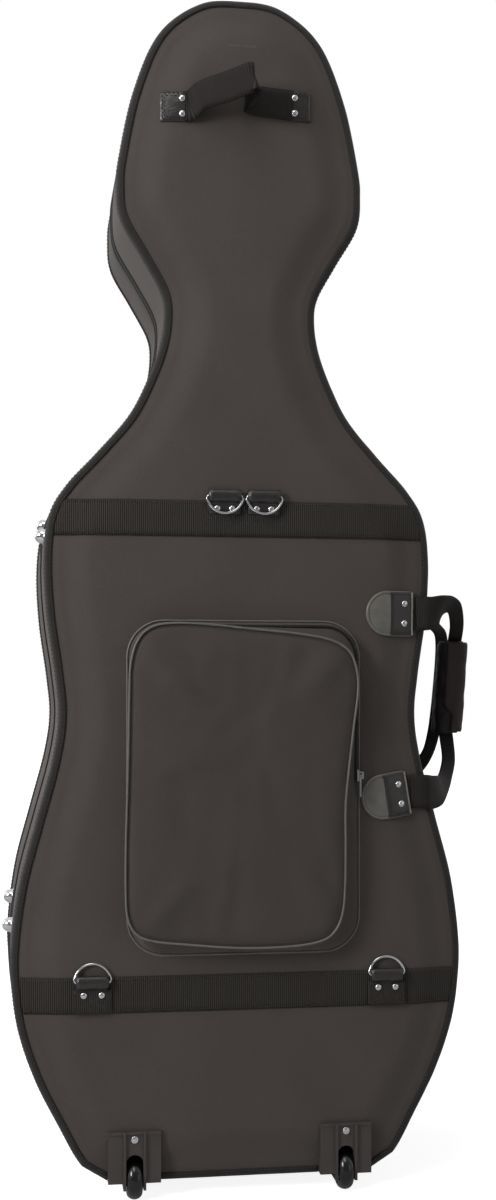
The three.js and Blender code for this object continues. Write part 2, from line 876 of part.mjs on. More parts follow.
function addRing(name, x, z, turn) {
  const places = ringRivetPlaces(x, z);
  add(`${name}_ring_tab`, ringTabGeometry(x, z, places), leatherette);
  const dRing = add(`${name}_ring`, ringGeometry(), chrome);
  dRing.position.set(x, rollDepth, z);
  dRing.rotation.x = turn;
  return places;
}

function addRings() {
  const plateWidth = ringRivetSpacing + rivetPlateWidth;
  const upperHeight = upperBandHeight + upperRingRaise;
  const lowerHeight = lowerBandHeight + lowerRingRaise;
  const upper = [-1, 1].flatMap((side) => {
    const name = side < 0 ? 'upper_left' : 'upper_right';
    return addRing(name, upperRingCentre + side * upperRingOffset, upperHeight, -ringRestTilt);
  });
  const upperWidth = upperRingOffset + upperRingOffset + plateWidth;
  const upperPlate = rectangle(upperRingCentre, upperHeight - ringRivetDrop, upperWidth, rivetPlateWidth);
  add('upper_ring_rivets', rivetPair(upper, straightOut, upperPlate, ringPlateLevel, tabThickness), chrome);
  for (const side of [-1, 1]) {
    const name = side < 0 ? 'lower_left' : 'lower_right';
    const x = side * lowerRingOffset;
    const places = addRing(name, x, lowerHeight, Math.PI - ringLean);
    const plate = rectangle(x, lowerHeight - ringRivetDrop, plateWidth, rivetPlateWidth);
    add(`${name}_ring_rivets`, rivetPair(places, straightOut, plate, ringPlateLevel, tabThickness), chrome);
  }
}

const strapCorners = [[-1, -1], [1, -1], [1, 1], [-1, 1]];

// A flat strap through stations, each with its middle, the direction of its width, and its width.
function strapGeometry(stations, thickness) {
  const curve = new THREE.CatmullRomCurve3(stations.map((s) => s.at), false, 'centripetal');
  const spans = stations.length - 1;
  const rings = [];
  for (let k = 0; k <= spans * strapSteps; k += 1) {
    const t = k / (spans * strapSteps);
    const from = stations[Math.min(Math.floor(t * spans), spans - 1)];
    const to = stations[stations.indexOf(from) + 1];
    const share = t * spans - stations.indexOf(from);
    const middle = curve.getPoint(t);
    const tangent = curve.getTangent(t);
    const across = from.across.clone().lerp(to.across, share);
    across.addScaledVector(tangent, -across.dot(tangent)).normalize();
    const face = tangent.clone().cross(across).multiplyScalar(thickness / 2);
    const side = across.multiplyScalar(THREE.MathUtils.lerp(from.width, to.width, share) / 2);
    const corner = ([s, f]) => middle.clone().addScaledVector(side, s).addScaledVector(face, f);
    rings.push(strapCorners.map(corner));
  }
  return loft(rings);
}

function station(x, y, z, across, width) {
  return { at: new THREE.Vector3(x, y, z), across: new THREE.Vector3(...across), width };
}

// Neck handle: a webbing loop between two riveted tabs
const tabLevel = seatGap + rivetPlateThickness + seatGap;

function addNeckHandle() {
  const tabs = [['left', -1, neckTabWidthLeft], ['right', 1, neckTabWidthRight]];
  for (const [name, side, width] of tabs) {
    const middle = side < 0 ? neckHandleHeight : neckHandleHeight + neckTabStep;
    const rivetX = neckHandleCentre + side * (neckTabInner + neckRivetInset);
    const { normal } = panelPlace(rivetX, middle);
    const heights = [-1, 1].map((end) => middle + end * neckRivetSpacing / 2);
    const places = heights.map((z) => panelPlace(rivetX, z).point);
    const tabX = neckHandleCentre + side * (neckTabInner + width / 2);
    const shape = rectangle(tabX, middle, width, neckTabHeight);
    const window = prism(shape, -overrun - overrun, 0);
    const layer = backLayer(tabLevel, tabLevel + tabThickness).intersect(window);
    add(`neck_tab_${name}`, geometryOf(layer.subtract(rivetHoles(places, normal))), leatherette);
    const plate = rectangle(rivetX, middle, rivetPlateWidth, neckRivetSpacing + rivetPlateWidth);
    add(`neck_rivets_${name}`, rivetPair(places, normal, plate, seatGap, tabThickness), chrome);
  }
  const start = neckTabInner - footGap - runGap;
  const surface = -backRise - tabLevel - neckHandleThickness / 2;
  const stations = neckLoopShares.map(([across, out, up, lean]) => {
    const climb = THREE.MathUtils.smoothstep(across, ...neckClimbShares);
    const z = neckHandleHeight + climb * neckTabStep + up * neckHandleRaise;
    const x = neckHandleCentre + across * start;
    return station(x, surface - out * neckHandleLift, z, [lean, 0, 1], neckHandleWidth);
  });
  add('neck_handle', strapGeometry(stations, neckHandleThickness), webbing);
}

// Side handle
function handleTabShape(edge, z, tilt) {
  const radius = handleTabHeight / 2;
  const shape = new THREE.Shape();
  shape.moveTo(0, -radius);
  shape.lineTo(0, radius);
  shape.lineTo(-handleTabStraight, radius);
  shape.absarc(-handleTabStraight, 0, radius, Math.PI / 2, Math.PI * 3 / 2);
  const place = new THREE.Vector2(edge, z);
  const points = shape.getPoints(shapeSteps + shapeSteps);
  return new THREE.Shape(points.map((p) => p.rotateAround(new THREE.Vector2(), tilt).add(place)));
}


const handleTabs = [
  { name: 'upper', inset: upperTabInset, z: gripHeight + upperTabRaise, tilt: 0 },
  { name: 'lower', inset: lowerTabInset, z: gripHeight - lowerTabDrop, tilt: lowerTabTilt },
].map((tab) => ({ ...tab, edge: wallPlace(1, tab.z, 0, 0).x - tab.inset }));

function addHandleTabs() {
  for (const { name, edge, z, tilt } of handleTabs) {
    const shape = handleTabShape(edge, z, tilt);
    const along = new THREE.Vector2(-Math.sin(tilt), Math.cos(tilt));
    const inwards = new THREE.Vector2(-along.y, along.x);
    const centre = new THREE.Vector2(edge, z).addScaledVector(inwards, handleRivetInset);
    const ends = [-1, 1].map((end) => centre.clone().addScaledVector(along, end * handleRivetSpacing / 2));
    const { normal } = panelPlace(centre.x, centre.y);
    const places = ends.map((p) => panelPlace(p.x, p.y).point);
    const window = prism(shape, -overrun - overrun, overrun);
    const tab = backLayer(tabLevel, tabLevel + handleTabThickness).intersect(window);
    add(`${name}_handle_tab`, geometryOf(tab.subtract(rivetHoles(places, normal))), leatherette);
    const plateLength = handleRivetSpacing + rivetPlateWidth;
    const plate = new THREE.Shape(rectangle(0, 0, rivetPlateWidth, plateLength).getPoints()
      .map((p) => p.rotateAround(new THREE.Vector2(), tilt).add(centre)));
    add(`${name}_handle_rivets`, rivetPair(places, normal, plate, seatGap, handleTabThickness), chrome);
    const lidTab = lidLayer(seatGap, seatGap + handleTabThickness);
    const lidWindow = prism(shape, backDepth + overrun, lidEdge(baseHeight) + lidRise + overrun);
    add(`lid_${name}_tab`, geometryOf(lidTab.intersect(lidWindow)), leatherette);
  }
}

// How far a panel stands out at an inset from the outline, past its flared edge.
function panelRise(inset, flare, marginTop, fieldTop) {
  const margin = marginInset - flare;
  const onSlope = THREE.MathUtils.mapLinear(inset, margin, fieldInset, marginTop, fieldTop);
  const onMargin = THREE.MathUtils.mapLinear(inset, edgeRound - flare, margin, 0, marginTop);
  return inset > margin ? onSlope : Math.max(onMargin, 0);
}

// The strap starts at the upper tab, crosses the panel edge, runs down through the grip and comes back
// to the lower tab. Both of its ends lie along one line, about which it swings.
// surfaceAt gives the strap's depth at an inset from the outline; run is its depth in the grip.
function handleStrapStations(surfaceAt, overhang, run) {
  const starts = handleTabs.map(({ edge, z, tilt }) => {
    const outward = new THREE.Vector3(Math.cos(tilt), 0, Math.sin(tilt));
    const wall = wallPlace(1, z, 0, 0);
    const toEdge = (wall.x - edge) * wall.out.x;
    const at = (distance) => {
      const place = new THREE.Vector3(edge, surfaceAt(toEdge - distance, z), z);
      return place.addScaledVector(outward, distance);
    };
    return { root: at(strapRootGap), rim: at(toEdge + overhang) };
  });
  const across = starts[0].root.clone().sub(starts[1].root).normalize();
  const width = handleStrapWidth;
  const rooted = starts.map(({ root, rim }) => [{ at: root, across, width }, { at: rim, across, width }]);
  const half = gripLength / 2;
  const inGrip = [handleTurnShares.beyond, 1, 0, -1, -handleTurnShares.beyond].map((share) => {
    const x = gripReach + half * share * Math.sin(gripTilt);
    const at = new THREE.Vector3(x, run, gripHeight + half * share);
    return { at, across: new THREE.Vector3(-1, 0, 0), width: handleStrapFolded };
  });
  const turnWidth = THREE.MathUtils.lerp(handleStrapWidth, handleStrapFolded, handleTurnShares.folded);
  const turn = (root, end, facing, drop) => {
    const at = new THREE.Vector3(
      THREE.MathUtils.lerp(root.at.x, end.at.x, handleTurnShares.across),
      THREE.MathUtils.lerp(root.at.y, end.at.y, handleTurnShares.along),
      THREE.MathUtils.lerp(root.at.z, end.at.z, drop),
    );
    const turned = root.across.clone().addScaledVector(end.across, facing);
    return { at, across: turned, width: turnWidth };
  };
  const [upper, lower] = rooted;
  const upperTurn = turn(upper[1], inGrip.at(0), -1, handleTurnShares.upperDrop);
  const lowerTurn = turn(lower[1], inGrip.at(-1), 1, handleTurnShares.lowerDrop);
  inGrip.forEach((each) => each.across.negate());
  const lowerBack = [lowerTurn, lower[1], lower[0]];
  lowerBack.forEach((each) => {
    each.across = each.across.clone().negate();
  });
  return [...upper, upperTurn, ...inGrip, ...lowerBack];
}

const gripReach = wallPlace(1, gripHeight, 0, 0).x + gripStand;
const gripBehindPanel = backDepth - gripFromParting;

function addSideHandle() {
  const strapLevel = seatGap + bindingThickness + seatGap + handleStrapThickness / 2;
  const backSurface = (inset) => -panelRise(inset, 0, marginRise, backRise) - strapLevel;
  const backStations = handleStrapStations(backSurface, edgeRound, gripBehindPanel);
  add('back_handle_strap', strapGeometry(backStations, handleStrapThickness), webbing);

  const outer = new THREE.Shape();
  const w = gripWidth / 2 - gripRound;
  const d = gripDepth / 2 - gripRound;
  outer.absarc(w, -d, gripRound, -Math.PI / 2, 0);
  outer.absarc(w, d, gripRound, 0, Math.PI / 2);
  outer.absarc(-w, d, gripRound, Math.PI / 2, Math.PI);
  outer.absarc(-w, -d, gripRound, Math.PI, Math.PI * 3 / 2);
  const slotWide = handleStrapFolded / 2 + footGap;
  const slotDeep = handleStrapThickness / 2 + footGap;
  const slot = new THREE.Path();
  slot.moveTo(-slotWide, -slotDeep);
  slot.lineTo(-slotWide, slotDeep);
  slot.lineTo(slotWide, slotDeep);
  slot.lineTo(slotWide, -slotDeep);
  outer.holes.push(slot);
  const length = gripLength - footGap - footGap;
  const options = { depth: length, bevelEnabled: false, curveSegments: shapeSteps };
  const grip = new THREE.ExtrudeGeometry(outer, options);
  grip.translate(0, 0, -length / 2).rotateY(gripTilt);
  const wrap = add('handle_grip', grip, wrapCloth);
  wrap.position.set(gripReach, gripBehindPanel, gripHeight);

  const lidRun = gripBehindPanel + gripDepth / 2 + handleStrapThickness / 2 + footGap;
  const lidLevel = (inset) => strapLevel + panelRise(inset, lidFlare, lidMarginRise, lidRise);
  const lidSurface = (inset, z) => lidEdge(z) + lidLevel(inset);
  const lidStations = handleStrapStations(lidSurface, edgeRound + lidFlare, lidRun);
  add('lid_handle_strap', strapGeometry(lidStations, handleStrapThickness), webbing);
}

// Music pocket: a tapered pouch, open towards the panel that closes it
function pocketRing(inset, y) {
  const points = [];
  const width = pocketWidth / 2 - inset;
  const height = pocketHeight / 2 - inset;
  const round = pocketRound - inset;
  const corners = [[1, 1, 0], [-1, 1, 1], [-1, -1, 2], [1, -1, 3]];
  for (const [sx, sz, quarter] of corners) {
    for (let k = 0; k <= shapeSteps; k += 1) {
      const angle = (quarter + k / shapeSteps) * (Math.PI / 2);
      const x = pocketCentre + sx * (width - round) + round * Math.cos(angle);
      const z = pocketCentreHeight + sz * (height - round) + round * Math.sin(angle);
      points.push(new THREE.Vector3(x, y, z));
    }
  }
  return points;
}

const pocketBase = -backRise - seatGap;
const pocketFace = pocketBase - pocketDepth;

function addPocket() {
  const outside = solidOf(loft([
    pocketRing(0, pocketBase),
    pocketRing(pocketTaper, pocketFace),
    pocketRing(pocketFieldInset, pocketFace - pocketCrown),
  ]));
  const mouth = pocketBase + pocketWall;
  const inside = solidOf(loft([
    pocketRing(pocketWall, mouth),
    pocketRing(pocketWall + pocketTaper, pocketFace + pocketWall),
  ]));
  add('pocket_pouch', geometryOf(outside.subtract(inside)), pocketCloth);
}

// Zip slider with a bridge, and its pull on a pin through the bridge.
// Local axes: +X out of the zip, +Z along it.
const pinLevel = sliderBase + tunnelHeight / 2;
const bridgeHeight = sliderBase + tunnelHeight + bridgeTop;

function sliderGeometry() {
  const half = [sliderWidth / 2, sliderLength / 2];
  const base = block([0, -half[0], -half[1]], [sliderBase, ...half]);
  const bridgeLow = [sliderBase / 2, -bridgeWidth / 2, -bridgeLength / 2];
  const bridge = block(bridgeLow, [bridgeHeight, bridgeWidth / 2, bridgeLength / 2]);
  const tunnelLow = [sliderBase, -sliderWidth, -tunnelHeight];
  const tunnel = block(tunnelLow, [sliderBase + tunnelHeight, sliderWidth, tunnelHeight]);
  return geometryOf(base.add(bridge.subtract(tunnel)));
}

function pullGeometry() {
  const reach = bridgeWidth / 2 + runGap + armThickness;
  const pin = rod(pinRadius, new THREE.Vector3(0, -reach, 0), new THREE.Vector3(0, reach, 0));
  const armEnd = -bridgeLength / 2 - pullThickness;
  const arms = [-1, 1].map((side) => {
    const inner = side * (reach - armThickness);
    const outer = side * reach;
    const low = [-pinRadius, Math.min(inner, outer), armEnd];
    return block(low, [pinRadius, Math.max(inner, outer), pinRadius]);
  });
  const bar = block([-pinRadius, -reach, armEnd - pullThickness], [pinRadius, reach, armEnd]);
  const tabLow = [-pullThickness / 2, -pullWidth / 2, -pullLength];
  const tab = block(tabLow, [pullThickness / 2, pullWidth / 2, armEnd - pullThickness / 2]);
  return geometryOf(union([pin, ...arms, bar, tab]));
}

function addSlider(name, place, lean) {
  const slider = add(`${name}_slider`, sliderGeometry(), blackMetal);
  slider.position.copy(place.point);
  slider.setRotationFromMatrix(place.turn);
  const pull = add(`${name}_pull`, pullGeometry(), blackMetal);
  pull.position.copy(place.point).addScaledVector(place.out, pinLevel);
  pull.setRotationFromMatrix(place.turn);
  pull.rotateY(lean);
}

function zipPlace(point, out, up) {
  const across = up.clone().cross(out);
  return { point, out, turn: new THREE.Matrix4().makeBasis(out, across, up) };
}

function addSliders() {
  const wall = wallPlace(1, heightAt(mainSliderShare), backFlare, seatGap + zipTapeThickness + footGap);
  addSlider('zip', zipPlace(new THREE.Vector3(wall.x, backDepth, wall.z), wall.out, wall.up), 0);
  const lean = Math.atan2(pocketTaper, pocketDepth);
  const out = new THREE.Vector3(Math.cos(lean), -Math.sin(lean), 0);
  const gusset = new THREE.Vector3(
    pocketCentre + (pocketWidth - pocketTaper) / 2,
    pocketBase - pocketDepth / 2,
    pocketCentreHeight + pocketSliderRaise,
  );
  addSlider('pocket', zipPlace(gusset.addScaledVector(out, footGap), out, new THREE.Vector3(0, 0, 1)), 0);
}

// Wheels
function bracketGeometry(side) {
  const x = side * wheelOffset;
  const half = bracketWidth / 2;
  const top = baseHeight + bracketHeight;
  const plateBlock = block([x - half, bracketFace, baseHeight], [x + half, edgeRound + edgeRound, top]);
  const plate = plateBlock.subtract(backForm(seatGap, backDepth + overrun));
  const ribFront = bracketFace - bracketRib / 2;
  const ribBack = bracketFace + bracketRib / 2;
  const lip = block([x - half, ribFront, top - bracketRib], [x + half, ribBack, top]);
  const cheeks = [-1, 1].map((end) => {
    const inner = x + end * cheekGap / 2;
    const outer = x + end * (cheekGap / 2 + cheekThickness);
    const low = Math.min(inner, outer);
    const high = Math.max(inner, outer);
    const foot = baseHeight - cheekDrop;
    const rib = block([low, bracketFace - bracketRib, foot], [high, ribBack, top]);
    const ear = block([low, bracketFace, foot], [high, wellDepth - recessClearance, wellTop - footGap]);
    return rib.add(ear);
  });
  const slotShape = new THREE.Shape();
  slotShape.moveTo(x + cheekGap / 2, -overrun);
  slotShape.lineTo(x + cheekGap / 2, slotTop - cheekGap / 2);
  slotShape.absarc(x, slotTop - cheekGap / 2, cheekGap / 2, 0, Math.PI);
  slotShape.lineTo(x - cheekGap / 2, -overrun);
  const slot = prism(slotShape, -overrun - overrun, overrun + overrun);
  const acrossHub = (radius, from, to) => rod(
    radius,
    new THREE.Vector3(x + from, 0, wheelRadius),
    new THREE.Vector3(x + to, 0, wheelRadius),
  );
  const arch = acrossHub(wheelRadius + archGap, -cheekGap / 2, cheekGap / 2);
  const headStart = cheekGap / 2 + cheekThickness;
  const headRoom = [-headStart - bossWall, headStart]
    .map((from) => acrossHub(axleHeadRadius + runGap, from, from + bossWall));
  const bore = acrossHub(axleRadius + runGap, -headStart, headStart);
  const body = union([plate, lip]).subtract(union([slot, arch, ...headRoom])).add(union(cheeks));
  return geometryOf(body.subtract(bore).subtract(screwHole(side, screwShankRadius + runGap)));
}

function wheelGeometry() {
  const edge = wheelWidth / 2;
  const shoulder = wheelRadius - wheelCrown;
  const profile = [[axleRadius + runGap, -hubWidth / 2], [hubRadius / 2, -hubWidth / 2]];
  profile.push([hubRadius, -edge + webRecess], [shoulder, -edge]);
  for (let k = 1; k < crownSteps; k += 1) {
    const angle = (k / crownSteps) * Math.PI;
    profile.push([shoulder + wheelCrown * Math.sin(angle), -edge * Math.cos(angle)]);
  }
  profile.push([shoulder, edge], [hubRadius, edge - webRecess], [hubRadius / 2, hubWidth / 2]);
  profile.push([axleRadius + runGap, hubWidth / 2], [axleRadius + runGap, -hubWidth / 2]);
  const points = profile.map(([r, h]) => new THREE.Vector2(r, h));
  return new THREE.LatheGeometry(points, wheelSegments);
}

function axleGeometry() {
  const half = cheekGap / 2 + cheekThickness;
  const start = half + seatGap;
  const end = start + axleHeadLength;
  const profile = [[0, -end], [axleHeadRadius, -end], [axleHeadRadius, -start], [axleRadius, -start]];
  profile.push([axleRadius, end], [0, end]);
  return new THREE.LatheGeometry(profile.map(([r, h]) => new THREE.Vector2(r, h)), rodSides);
}

function screwGeometry() {
  const seat = seatGap;
  const profile = [[0, -screwShankLength], [screwShankRadius, -screwShankLength], [screwShankRadius, seat]];
  profile.push([screwHeadRadius, seat], [screwHeadRadius, seat + screwHeadHeight / 2]);
  profile.push([0, seat + screwHeadHeight]);
  return new THREE.LatheGeometry(profile.map(([r, h]) => new THREE.Vector2(r, h)), rodSides);
}

function addWheels() {
  for (const side of wheelSides) {
    const name = side < 0 ? 'left' : 'right';
    const x = side * wheelOffset;
    add(`wheel_bracket_${name}`, bracketGeometry(side), mouldedPlastic);
    const acrossX = new THREE.Vector3(1, 0, 0);
    const hub = new THREE.Vector3(x, 0, wheelRadius);
    add(`wheel_${name}`, aimed(wheelGeometry(), hub, acrossX), tyreRubber);
    add(`axle_${name}`, aimed(axleGeometry(), hub, acrossX), blackMetal);
    const seat = new THREE.Vector3(x, bracketFace, screwHeight);
    add(`bracket_screw_${name}`, aimed(screwGeometry(), seat, straightOut), chrome);
  }
}

function addFeet() {
  const named = {
    back_foot_upper: backFeet[0],
    back_foot_lower: backFeet[1],
    lid_foot_upper: lidFeet[0],
    lid_foot_lower: lidFeet[1],
    stand_foot_left: standFeet[0],
    stand_foot_right: standFeet[1],
  };
  Object.entries(named).forEach(([name, foot]) => add(name, footGeometry(foot), chrome));
}

// Fittings inside
const linerFace = -shellWall - seatGap - linerThickness;

function addInnerFittings() {
  const room = backForm(linerFace - seatGap, backDepth - partingGap);
  const floor = -backRise - linerFace + seatGap;
  const cradleTop = floor + cradleDepth;
  const half = cradleWidth / 2;
  const low = cradleHeight - cradleLength / 2;
  const high = cradleHeight + cradleLength / 2;
  const grooveStart = new THREE.Vector3(0, cradleTop, low - overrun);
  const groove = rod(neckGrooveRadius, grooveStart, new THREE.Vector3(0, cradleTop, high + overrun));
  const cradle = block([-half, -overrun, low], [half, cradleTop, high]).intersect(room).subtract(groove);
  add('neck_cradle', geometryOf(cradle), foam);
  const strapHalf = neckStrapWidth / 2;
  const strapLow = cradleTop + seatGap;
  const strapHigh = [half, strapLow + neckStrapThickness, cradleHeight + strapHalf];
  const strap = block([-half, strapLow, cradleHeight - strapHalf], strapHigh);
  add('neck_strap', geometryOf(strap.intersect(room)), webbing);

  const blockTop = baseHeight + shellWall + linerThickness + endBlockHeight;
  const blockHalf = endBlockWidth / 2;
  const notch = endNotchWidth / 2;
  const ends = block([-blockHalf, -overrun, 0], [blockHalf, floor + endBlockDepth, blockTop]).intersect(room);
  const notchLow = [-notch, floor + endBlockDepth / 2, blockTop - endNotchDepth];
  const pinNotch = block(notchLow, [notch, backDepth, blockTop + overrun]);
  const bosses = union(wheelSides.map((side) => wheelBoss(side, seatGap + linerThickness)));
  add('end_block', geometryOf(ends.subtract(pinNotch).subtract(bosses)), foam);

  for (const side of wheelSides) {
    const name = side < 0 ? 'left' : 'right';
    const seat = lidEdge(bowClipHeight) + lidRise + linerFace - footGap;
    const x = side * bowClipOffset;
    const foot = new THREE.Vector3(x, seat, bowClipHeight);
    const pin = rod(bowClipPinRadius, foot, new THREE.Vector3(x, seat - bowClipStand, bowClipHeight));
    const arm = block(
      [x - bowClipWidth / 2, seat - bowClipStand - bowClipThickness, bowClipHeight - bowClipWidth / 2],
      [x + bowClipWidth / 2, seat - bowClipStand + seatGap, bowClipHeight + bowClipReach - bowClipWidth / 2],
    );
    add(`bow_clip_${name}`, geometryOf(pin.add(arm)), mouldedPlastic);
  }
}

addShells();
addBindings();
addZipTapes();
addBands();
addRings();
addNeckHandle();
addHandleTabs();
addSideHandle();
addPocket();
addSliders();
addWheels();
addFeet();
addInnerFittings();

// The origin is on the floor, under the middle of the standing case.
const bounds = new THREE.Box3().setFromObject(celloCase);
const middle = bounds.getCenter(new THREE.Vector3());
celloCase.position.set(-middle.x, -middle.y, -bounds.min.z);

const standingCase = new THREE.Group();
standingCase.add(celloCase);

export default standingCase;
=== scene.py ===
"""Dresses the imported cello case: shell cloth, edge tapes, webbing, pocket, handles, rings, wheels and lining.

Every size below is in millimetres in the case's own frame (X to the side handle, Y from the back panel's edge
plane to the lid, Z up from the floor), unless its name says otherwise. Meshes are written out in metres.
"""

import logging
import math
from collections.abc import Callable, Sequence
from dataclasses import dataclass, field
from enum import Enum
from functools import cache, partial

import bmesh
import bpy
import numpy as np
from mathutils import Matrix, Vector, noise
from mathutils.bvhtree import BVHTree
from mathutils.geometry import delaunay_2d_cdt


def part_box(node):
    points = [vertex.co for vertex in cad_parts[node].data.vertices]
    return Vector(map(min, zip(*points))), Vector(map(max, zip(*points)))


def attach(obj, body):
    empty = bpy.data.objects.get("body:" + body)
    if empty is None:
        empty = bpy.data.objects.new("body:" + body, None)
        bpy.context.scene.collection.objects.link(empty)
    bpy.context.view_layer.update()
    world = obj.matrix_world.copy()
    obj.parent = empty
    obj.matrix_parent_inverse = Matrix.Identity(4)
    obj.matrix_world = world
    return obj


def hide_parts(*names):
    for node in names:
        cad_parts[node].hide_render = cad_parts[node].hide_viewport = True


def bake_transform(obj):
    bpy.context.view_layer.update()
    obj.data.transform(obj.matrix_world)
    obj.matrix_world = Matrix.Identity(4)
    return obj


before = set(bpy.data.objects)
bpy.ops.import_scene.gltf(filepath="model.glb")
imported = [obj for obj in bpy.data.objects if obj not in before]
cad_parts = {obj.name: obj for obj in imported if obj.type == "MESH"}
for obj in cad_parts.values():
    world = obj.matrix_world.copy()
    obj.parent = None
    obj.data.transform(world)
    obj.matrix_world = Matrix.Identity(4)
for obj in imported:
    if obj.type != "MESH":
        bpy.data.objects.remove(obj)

logging.basicConfig(level=logging.INFO, format="%(message)s")
log = logging.getLogger("cello_case")

MM = 0.001
UV_NAME = "mm"

Points = np.ndarray
Piece = bpy.types.Object
Socket = bpy.types.NodeSocket
InsetLike = float | np.ndarray


class Body(str, Enum):
    """Bodies of the frame that the pieces ride on."""

    BACK = "back_case"
    LID = "lid"
    SIDE_HANDLE = "side_handle"
    LID_HANDLE = "lid_handle"


class Side(Enum):
    """The two shells of the case."""

    BACK = "back"
    LID = "lid"


# Frame of the case


@dataclass(frozen=True)
class Datum:
    """Ties the case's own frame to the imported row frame."""

    base_height: float = 11.0
    parting: float = 122.0
    parting_gap: float = 0.6

    def shift(self) -> Vector:
        """Returns the row-frame place of the case's origin, in metres."""
        low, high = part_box("back_shell")
        return Vector((
            (low.x + high.x) / 2,
            high.y - (self.parting - self.parting_gap / 2) * MM,
            low.z - self.base_height * MM,
        ))


DATUM = Datum()
SHIFT = np.array(DATUM.shift())


def to_row(points: Points) -> Points:
    """Returns case-frame millimetres as row-frame metres."""
    return np.asarray(points, float) * MM + SHIFT


def row_point(x: float, y: float, z: float) -> Vector:
    """Returns one case-frame point as a row-frame vector."""
    return Vector(to_row(np.array((x, y, z))))


# Mesh helpers


def linked(name: str, data: bpy.types.ID) -> Piece:
    """Makes an object from its data and puts it in the scene."""
    obj = bpy.data.objects.new(name, data)
    bpy.context.scene.collection.objects.link(obj)
    return obj


def make_object(
    name: str, points: Points, faces: Sequence, uv: Points | None = None, smooth: bool = True
) -> Piece:
    """Makes a mesh object from case-frame points.

    Args:
        name: Name of the object and its mesh.
        points: Vertices in millimetres, one row each.
        faces: Vertex indices of each face.
        uv: Texture places in millimetres, one row per vertex.
        smooth: Whether faces are shaded smooth.

    Returns:
        The linked object.
    """
    mesh = bpy.data.meshes.new(name)
    mesh.from_pydata(to_row(points).tolist(), [], [list(map(int, f)) for f in faces])
    mesh.polygons.foreach_set("use_smooth", [smooth] * len(mesh.polygons))
    if uv is not None:
        layer = mesh.uv_layers.new(name=UV_NAME)
        loops = np.empty(len(mesh.loops), np.int32)
        mesh.loops.foreach_get("vertex_index", loops)
        layer.data.foreach_set("uv", np.asarray(uv, np.float32)[loops].ravel())
    mesh.validate()
    mesh.update()
    return linked(name, mesh)


def grid_faces(
    rows: int, columns: int, closed_rows: bool = False, closed_columns: bool = False, start: int = 0
) -> list[tuple[int, ...]]:
    """Returns the quads of a grid of vertices, stored row by row."""
    faces = []
    for r in range(rows if closed_rows else rows - 1):
        for c in range(columns if closed_columns else columns - 1):
            r2, c2 = (r + 1) % rows, (c + 1) % columns
            faces.append((
                start + r * columns + c, start + r * columns + c2, start + r2 * columns + c2,
                start + r2 * columns + c
            ))
    return faces


def grid_object(name: str, grid: Points, closed_rows: bool = False, closed_columns: bool = False,
                capped: bool = False, uv: Points | None = None) -> Piece:
    """Makes an object from a grid of points.

    Args:
        name: Name of the object.
        grid: Points, shaped rows by columns by 3.
        closed_rows: Whether the last row joins the first.
        closed_columns: Whether the last column joins the first.
        capped: Whether the first and last rows are closed by one face each.
        uv: Texture places, shaped rows by columns by 2.

    Returns:
        The object, facing outwards.
    """
    rows, columns = grid.shape[:2]
    faces = grid_faces(rows, columns, closed_rows, closed_columns)
    if capped:
        faces.append(tuple(range(columns)))
        faces.append(tuple(range(rows * columns - 1, (rows - 1) * columns - 1, -1)))
    obj = make_object(name, grid.reshape(-1, 3), faces, None if uv is None else uv.reshape(-1, 2))
    face_outwards(obj)
    return obj


def face_outwards(obj: Piece) -> None:
    """Turns an object's faces to the outside."""
    work = bmesh.new()
    work.from_mesh(obj.data)
    bmesh.ops.recalc_face_normals(work, faces=work.faces)
    work.to_mesh(obj.data)
    work.free()


def joined(name: str, parts: Sequence[Piece]) -> Piece:
    """Joins meshes into one object and returns it."""
    work = bmesh.new()
    for part in parts:
        part.data.transform(part.matrix_world)
        work.from_mesh(part.data)
    mesh = bpy.data.meshes.new(name)
    work.to_mesh(mesh)
    work.free()
    for part in parts:
        bpy.data.objects.remove(part)
    return linked(name, mesh)


def applied(obj: Piece) -> Piece:
    """Applies all of an object's modifiers and returns it."""
    bpy.context.view_layer.update()
    evaluated = obj.evaluated_get(bpy.context.evaluated_depsgraph_get())
    mesh = bpy.data.meshes.new_from_object(evaluated)
    obj.modifiers.clear()
    obj.data = mesh
    return obj


def box_object(name: str, low: Sequence[float], high: Sequence[float]) -> Piece:
    """Makes a plain box between two corners, for cutting."""
    corners = np.array([
        [x, y, z] for x in (low[0], high[0]) for y in (low[1], high[1]) for z in (low[2], high[2])
    ])
    faces = [(0, 1, 3, 2), (4, 6, 7, 5), (0, 4, 5, 1), (2, 3, 7, 6), (0, 2, 6, 4), (1, 5, 7, 3)]
    return make_object(name, corners, faces, smooth=False)


def cut(obj: Piece, cutters: Sequence[Piece]) -> Piece:
    """Takes the cutters out of an object, removes them and returns the object.

    Args:
        obj: Object to cut.
        cutters: What is taken out.

    Returns:
        The object.
    """
    for cutter in cutters:
        modifier = obj.modifiers.new("cut", "BOOLEAN")
        modifier.operation = "DIFFERENCE"
        modifier.object = cutter
        modifier.solver = "MANIFOLD"
    applied(obj)
    for cutter in cutters:
        bpy.data.objects.remove(cutter)
    return obj


def lathe(profile: Sequence[tuple[float, float]], segments: int = 48) -> tuple[Points, list[tuple[int, ...]]]:
    """Turns a profile of (radius, height) round +Y.

    Args:
        profile: Points from one end to the other.
        segments: Facets round the axis.

    Returns:
        The points and the faces.
    """
    angles = np.linspace(0, 2 * math.pi, segments, endpoint=False)
    rows = [np.stack([r * np.cos(angles), np.full(segments, h), r * np.sin(angles)], 1) for r, h in profile]
    faces = grid_faces(len(rows), segments, closed_columns=True)
    if profile[0][0] > 0:
        faces.append(tuple(range(segments)))
    if profile[-1][0] > 0:
        faces.append(tuple(range(len(rows) * segments - 1, (len(rows) - 1) * segments - 1, -1)))
    return np.concatenate(rows), faces


